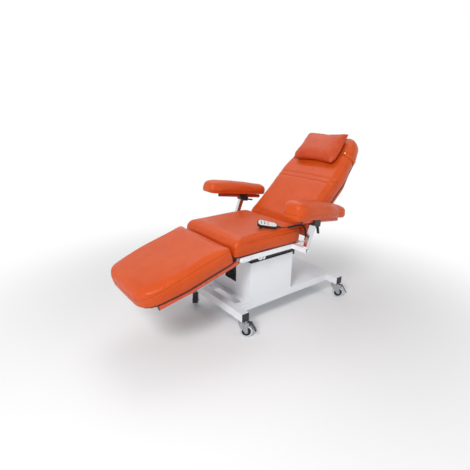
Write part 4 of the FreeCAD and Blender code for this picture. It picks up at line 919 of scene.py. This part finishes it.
front_sag = {"left": 0.009, "right": 0.003}
for side, splay in rail_splay.items():
    pad_node = "arm_pad_" + side
    low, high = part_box(pad_node)
    level, climb = math.cos(rail_tilt), math.sin(rail_tilt)
    pad_section = Section(
        (low + high) / 2,
        (-math.sin(splay) * level, math.cos(splay) * level, -climb),
        (-math.sin(splay) * climb, math.cos(splay) * climb, level),
        (math.cos(splay), math.sin(splay), 0),
    )
    arm_pad = soft_copy(pad_node, pad_node + "_cover", 0.0045)
    swell(arm_pad, lambda co, n: n.z < -0.8 and pad_section.inside(co).z < -0.02, 5.0, 0.006)
    finer(arm_pad)
    for vertex in arm_pad.data.vertices:
        place = pad_section.inside(vertex.co)
        sag = stair(-0.135, -0.19, place.y) * stair(0.02, -0.03, place.z)
        vertex.co -= pad_section.outward * front_sag[side] * sag
    creases(arm_pad, 0.07, 0.0018, 11.0 if side == "left" else 17.0)
    sew(arm_pad, pad_section, pad_seam, seed=low.x)
    finish_soft(
        arm_pad, cushion_vinyl, pad_node, body="arm_" + side + "_rest", fill=0.8,
        slot="orange_vinyl",
    )

# %% [markdown]
# ### Pillow strap
# A flat elastic strap holds the pillow. A remesh would erase so thin a thing, so it is made
# directly. It goes tightly round the back cushion and its board, and its path is the outline
# that a tight band takes round the points of both.

# %% Pillow strap
def tight_outline(points):
    """The outline of a tight band round flat points."""
    def side_chain(run):
        chain = []
        for point in run:
            while len(chain) > 1:
                (ax, ay), (bx, by) = chain[-2], chain[-1]
                if (bx - ax) * (point[1] - ay) - (by - ay) * (point[0] - ax) > 0:
                    break
                chain.pop()
            chain.append(point)
        return chain[:-1]

    ordered = sorted(points)
    return side_chain(ordered) + side_chain(ordered[::-1])


def even_loop(outline, count):
    """Points at even steps along a closed outline."""
    closed = [Vector(p) for p in outline] + [Vector(outline[0])]
    total = sum((b - a).length for a, b in zip(closed, closed[1:]))
    found, passed, index = [], 0.0, 0
    for i in range(count):
        goal = total * i / count
        while passed + (closed[index + 1] - closed[index]).length < goal:
            passed += (closed[index + 1] - closed[index]).length
            index += 1
        step = closed[index + 1] - closed[index]
        found.append(closed[index] + step.normalized() * (goal - passed))
    return found


strap_from, strap_to = 0.651, 0.679
strap_gap, strap_thick = 0.0008, 0.0014
strap_stations, strap_rows = 260, 4
bulge_reach = 0.016
near_strap = []
for held_piece in (back_cushion, nodes["back_board"]):
    for vertex in held_piece.data.vertices:
        place = back_section.inside(vertex.co)
        if strap_from - bulge_reach < place.y < strap_to:
            near_strap.append((place.x, place.z))
path = even_loop(tight_outline(near_strap), strap_stations)
middle = sum(path, Vector((0, 0))) / strap_stations
strap_points, strap_faces = [], []
for i, here in enumerate(path):
    ahead = path[(i + 1) % strap_stations] - path[i - 1]
    away = Vector((ahead.y, -ahead.x)).normalized()
    if away.dot(here - middle) < 0:
        away = -away
    for row in range(strap_rows):
        along = strap_from + (strap_to - strap_from) * row / (strap_rows - 1)
        shown = here + away * (strap_gap + strap_thick)
        strap_points.append(back_section.point(shown.x, along, shown.y))
        if row:
            first = i * strap_rows + row
            second = ((i + 1) % strap_stations) * strap_rows + row
            strap_faces.append((first - 1, first, second, second - 1))
strap_mesh = bpy.data.meshes.new("pillow_strap_band")
strap_mesh.from_pydata(strap_points, [], strap_faces)
strap = bpy.data.objects.new("pillow_strap_band", strap_mesh)
bpy.context.scene.collection.objects.link(strap)
pick(strap)
bpy.ops.object.mode_set(mode="EDIT")
bpy.ops.mesh.select_all(action="SELECT")
bpy.ops.mesh.normals_make_consistent(inside=False)
bpy.ops.object.mode_set(mode="OBJECT")
thicken = strap.modifiers.new("thicken", "SOLIDIFY")
thicken.thickness = strap_thick
thicken.offset = -1.0
apply_all(strap)
for face in strap_mesh.polygons:
    face.use_smooth = True
strap.data.materials.append(cushion_vinyl)
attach(strap, "pillow")
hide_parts("pillow_strap")
strap_top = max(p.y for p in path) + strap_gap + strap_thick
print("strap top above the hinge, mm:", round(strap_top * 1000, 1))

# %% [markdown]
# A small white snap closes the strap beside the pillow's near end. It is a thin disc with a
# rounded rim and a slightly domed face, turned to lie on the strap.

# %% Snap
snap_radius, snap_height, snap_dome = 0.0060, 0.0026, 0.0008
snap_across = 0.197
bpy.ops.object.select_all(action="DESELECT")
bpy.ops.mesh.primitive_cylinder_add(
    radius=snap_radius, depth=snap_height, vertices=40, location=(0, 0, 0),
)
snap = bpy.context.object
snap.name = "strap_snap"
round_rim = snap.modifiers.new("round_rim", "BEVEL")
round_rim.width, round_rim.segments = 0.0009, 3
apply_all(snap)
for vertex in snap.data.vertices:
    if vertex.co.z > 0:
        away = math.hypot(vertex.co.x, vertex.co.y) / snap_radius
        vertex.co.z += snap_dome * max(0.0, 1 - away * away)
snap.rotation_euler = (back_slope, 0, 0)
snap.location = back_section.point(
    snap_across, (strap_from + strap_to) / 2, strap_top + snap_height / 2,
)
settle(snap)
snap.data.materials.append(white_plastic)
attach(snap, "pillow")
print("snap points:", len(snap.data.vertices))

# %% [markdown]
# ### Head pillow
# Two panels sewn at the rim and stuffed. A flat bag is made from a box, and its faces are
# divided. Air pressure alone pulls it into a star, and a plain loaf has no wrinkles, so three
# tenths of the blown bag are blended into the loaf: the sides draw in a little, and wrinkles
# run from the rim.

# %% Head pillow
pillow_across, pillow_along, bag_thickness = 0.400, 0.256, 0.012
pillow_line = 0.676
pillow_middle = back_section.point(-0.002, pillow_line, 0.0)
loaf_height = 0.045
bag_share = 0.3
bag_frames = 24
bpy.ops.object.select_all(action="DESELECT")
bpy.ops.mesh.primitive_cube_add(size=1.0, location=(0, 0, 0))
pillow = bpy.context.object
pillow.name = "head_pillow"
pillow.scale = (pillow_across, pillow_along, bag_thickness)
settle(pillow)
bpy.ops.object.mode_set(mode="EDIT")
bpy.ops.mesh.select_all(action="SELECT")
bpy.ops.mesh.subdivide(number_cuts=47)
bpy.ops.object.mode_set(mode="OBJECT")
for vertex in pillow.data.vertices:
    vertex.co.z *= 0.5 + 0.5 * (1 - abs(vertex.co.x / pillow_across * 2) ** 6)
print("pillow points:", len(pillow.data.vertices))


def loaf(places, height):
    """The places of a plainly rounded bag, before any cloth pulls on it."""
    rounded = []
    for place in places:
        u, v = 2 * place.x / pillow_across, 2 * place.y / pillow_along
        lift = (max(0.0, 1 - u ** 4) * max(0.0, 1 - v ** 4)) ** 0.5
        rounded.append(Vector((
            place.x * (1 - 0.02 * (1 - v * v)), place.y * (1 - 0.05 * (1 - u * u)),
            place.z + math.copysign(height * lift, place.z),
        )))
    return rounded


def spans(places):
    return [max(p[i] for p in places) - min(p[i] for p in places) for i in range(3)]


loaf_places = loaf([v.co for v in pillow.data.vertices], loaf_height)
stuffed = loaf_places
cloth = pillow.modifiers.new("cloth", "CLOTH")
cloth.settings.quality = 6
cloth.settings.mass = 0.25
cloth.settings.tension_stiffness = 60.0
cloth.settings.compression_stiffness = 30.0
cloth.settings.shear_stiffness = 12.0
cloth.settings.bending_stiffness = 0.4
cloth.settings.air_damping = 2.0
cloth.settings.use_pressure = True
cloth.settings.uniform_pressure_force = 9.0
cloth.settings.effector_weights.gravity = 0.0
cloth.collision_settings.use_collision = False
cloth.point_cache.frame_start = 1
cloth.point_cache.frame_end = bag_frames
for number in range(1, bag_frames + 1):
    bpy.context.scene.frame_set(number)
apply_all(pillow)
bpy.context.scene.frame_set(1)
stuffed = [v.co.copy() for v in pillow.data.vertices]
loaf_size, stuffed_size = spans(loaf_places), spans(stuffed)
for vertex, plain, puffed in zip(pillow.data.vertices, loaf_places, stuffed):
    vertex.co = Vector([
        (1 - bag_share) * plain[i] / loaf_size[i] + bag_share * puffed[i] / stuffed_size[i]
        for i in range(3)
    ])
finer(pillow)
size_now = spans([v.co for v in pillow.data.vertices])
print("pillow after stuffing, mm:", [round(1000 * s) for s in stuffed_size])

# %% [markdown]
# The stuffed bag is brought to its real size, pressed on the back cushion and leaned with it. Its
# corners draw in, its near edge lifts a little off the back at the head end, and folds run in
# from that edge. A formula for each of these is easier to change than a sculpted shape.

# %% Lay the pillow down
pillow_real = (0.376, 0.246, 0.088)
base_height = max(strap_top + 0.0006, 0.1050)
rest_over, rim_height, edge_lift = 0.012, 0.026, 0.007
fold_depth, fold_width, fold_reach = 0.0045, 0.0045, 0.030
folds = ((0.160, 0.716, 0.30), (0.152, 0.668, -0.25), (0.118, 0.582, 0.9))
for vertex in pillow.data.vertices:
    u = 2 * vertex.co.x / size_now[0]
    v = 2 * vertex.co.y / size_now[1]
    drawn_in = 1 - 0.10 * stair(-0.62, -1.0, v) - 0.15 * stair(-0.2, 1.0, v) * stair(0.0, 1.0, u)
    x = u * pillow_real[0] / 2 * drawn_in
    y = v * pillow_real[1] / 2
    height = base_height + rim_height + vertex.co.z * pillow_real[2] / size_now[2]
    if height < base_height + rest_over:
        height = base_height + rest_over * math.exp((height - base_height - rest_over) / rest_over)
    height += edge_lift * stair(0.55, 0.95, u) * stair(-0.1, 0.5, v)
    for fold_x, fold_y, slant in folds:
        past = pillow_middle.x + x - fold_x
        away = past * slant + (pillow_line + y - fold_y)
        height -= fold_depth * bell(past, fold_reach) * bell(away, fold_width)
    vertex.co = pillow_middle + back_section.across * x + back_section.along * y
    vertex.co += back_section.outward * height
creases(pillow, 0.05, 0.0016, 21.0)
# The distance from the rim seam drives the stitches and a band of painted shade along the rim.
rim_off, rim_run = [], []
for vertex in pillow.data.vertices:
    place = back_section.inside(vertex.co)
    rim_off.append(marked(place.z - base_height - rim_height))
    rim_run.append(place.x + place.y)
store(pillow, seam_off=rim_off, seam_run=rim_run)
finish_soft(pillow, pillow_cover, "pillow", body="pillow", fill=0.6, slot="pillow_vinyl")

# %% [markdown]
# ## Light and floor
# One broad lamp from the foot end and the camera's side, high up, as the shadow on the tray
# tells, a softer one behind it and one from the other side, and a pale room. The floor fades to
# plain white away from the couch, so there is no horizon.

# %% Lamps
def lamp(name, place, aim, power, width):
    data = bpy.data.lights.new(name, "AREA")
    data.energy = power
    data.shape = "SQUARE"
    data.size = width
    holder = bpy.data.objects.new(name, data)
    bpy.context.scene.collection.objects.link(holder)
    holder.location = place
    holder.rotation_mode = "QUATERNION"
    holder.rotation_quaternion = (Vector(aim) - Vector(place)).to_track_quat("-Z", "Y")
    return holder


key_lamp = lamp("key_lamp", (1.7, -2.8, 2.9), (0, 0.1, 0.5), 94.0, 1.1)
fill_lamp = lamp("fill_lamp", (3.0, 1.0, 1.9), (0, 0.2, 0.5), 8.0, 2.0)
top_lamp = lamp("top_lamp", (-1.2, 0.6, 3.2), (0, 0.2, 0.5), 22.0, 2.0)
print("lamps:", key_lamp.name, fill_lamp.name, top_lamp.name)

# %% Room
world = bpy.data.worlds.new("pale_room")
bpy.context.scene.world = world
world.use_nodes = True
room = world.node_tree
room.nodes.clear()
ray = room.nodes.new("ShaderNodeLightPath")
dim = room.nodes.new("ShaderNodeBackground")
dim.inputs["Color"].default_value = (0.96, 0.97, 1.0, 1.0)
dim.inputs["Strength"].default_value = 0.38
plain = room.nodes.new("ShaderNodeBackground")
plain.inputs["Color"].default_value = (1.0, 1.0, 1.0, 1.0)
plain.inputs["Strength"].default_value = 1.0
seen = room.nodes.new("ShaderNodeMath")
seen.operation = "ADD"
room.links.new(ray.outputs["Is Camera Ray"], seen.inputs[0])
gloss_or_glass = room.nodes.new("ShaderNodeMath")
gloss_or_glass.operation = "ADD"
room.links.new(ray.outputs["Is Glossy Ray"], gloss_or_glass.inputs[0])
room.links.new(ray.outputs["Is Transmission Ray"], gloss_or_glass.inputs[1])
room.links.new(gloss_or_glass.outputs[0], seen.inputs[1])
choose = room.nodes.new("ShaderNodeMixShader")
room.links.new(seen.outputs[0], choose.inputs["Fac"])
room.links.new(dim.outputs[0], choose.inputs[1])
room.links.new(plain.outputs[0], choose.inputs[2])
out = room.nodes.new("ShaderNodeOutputWorld")
room.links.new(choose.outputs[0], out.inputs["Surface"])
print("room made")

# %% Floor
bpy.ops.object.select_all(action="DESELECT")
bpy.ops.mesh.primitive_plane_add(size=40.0, location=(0, 0, 0))
floor = bpy.context.object
floor.name = "studio_floor"
floor_finish = bpy.data.materials.new("pale_floor")
floor_finish.use_nodes = True
tree = floor_finish.node_tree
ground = tree.nodes["Principled BSDF"]
ground.inputs["Base Color"].default_value = (0.97, 0.97, 0.97, 1.0)
ground.inputs["Roughness"].default_value = 0.9
ground.inputs["Specular IOR Level"].default_value = 0.1
bright = tree.nodes.new("ShaderNodeEmission")
bright.inputs["Color"].default_value = (1.0, 1.0, 1.0, 1.0)
away = tree.nodes.new("ShaderNodeVectorMath")
away.operation = "LENGTH"
tree.links.new(tree.nodes.new("ShaderNodeTexCoord").outputs["Object"], away.inputs[0])
fade = tree.nodes.new("ShaderNodeMapRange")
fade.interpolation_type = "SMOOTHSTEP"
fade.inputs["From Min"].default_value = 0.9
fade.inputs["From Max"].default_value = 2.3
tree.links.new(away.outputs["Value"], fade.inputs["Value"])
floor_mix = tree.nodes.new("ShaderNodeMixShader")
tree.links.new(fade.outputs["Result"], floor_mix.inputs["Fac"])
tree.links.new(ground.outputs[0], floor_mix.inputs[1])
tree.links.new(bright.outputs[0], floor_mix.inputs[2])
tree.links.new(floor_mix.outputs[0], tree.nodes["Material Output"].inputs["Surface"])
floor.data.materials.append(floor_finish)
bpy.context.scene.view_settings.view_transform = "Standard"
print("floor made")

# %% [markdown]
# ## Finish
# The lead was made before any finish was, so it gets its black plastic here.

# %% Lead finish
lead.data.materials.append(black_plastic)
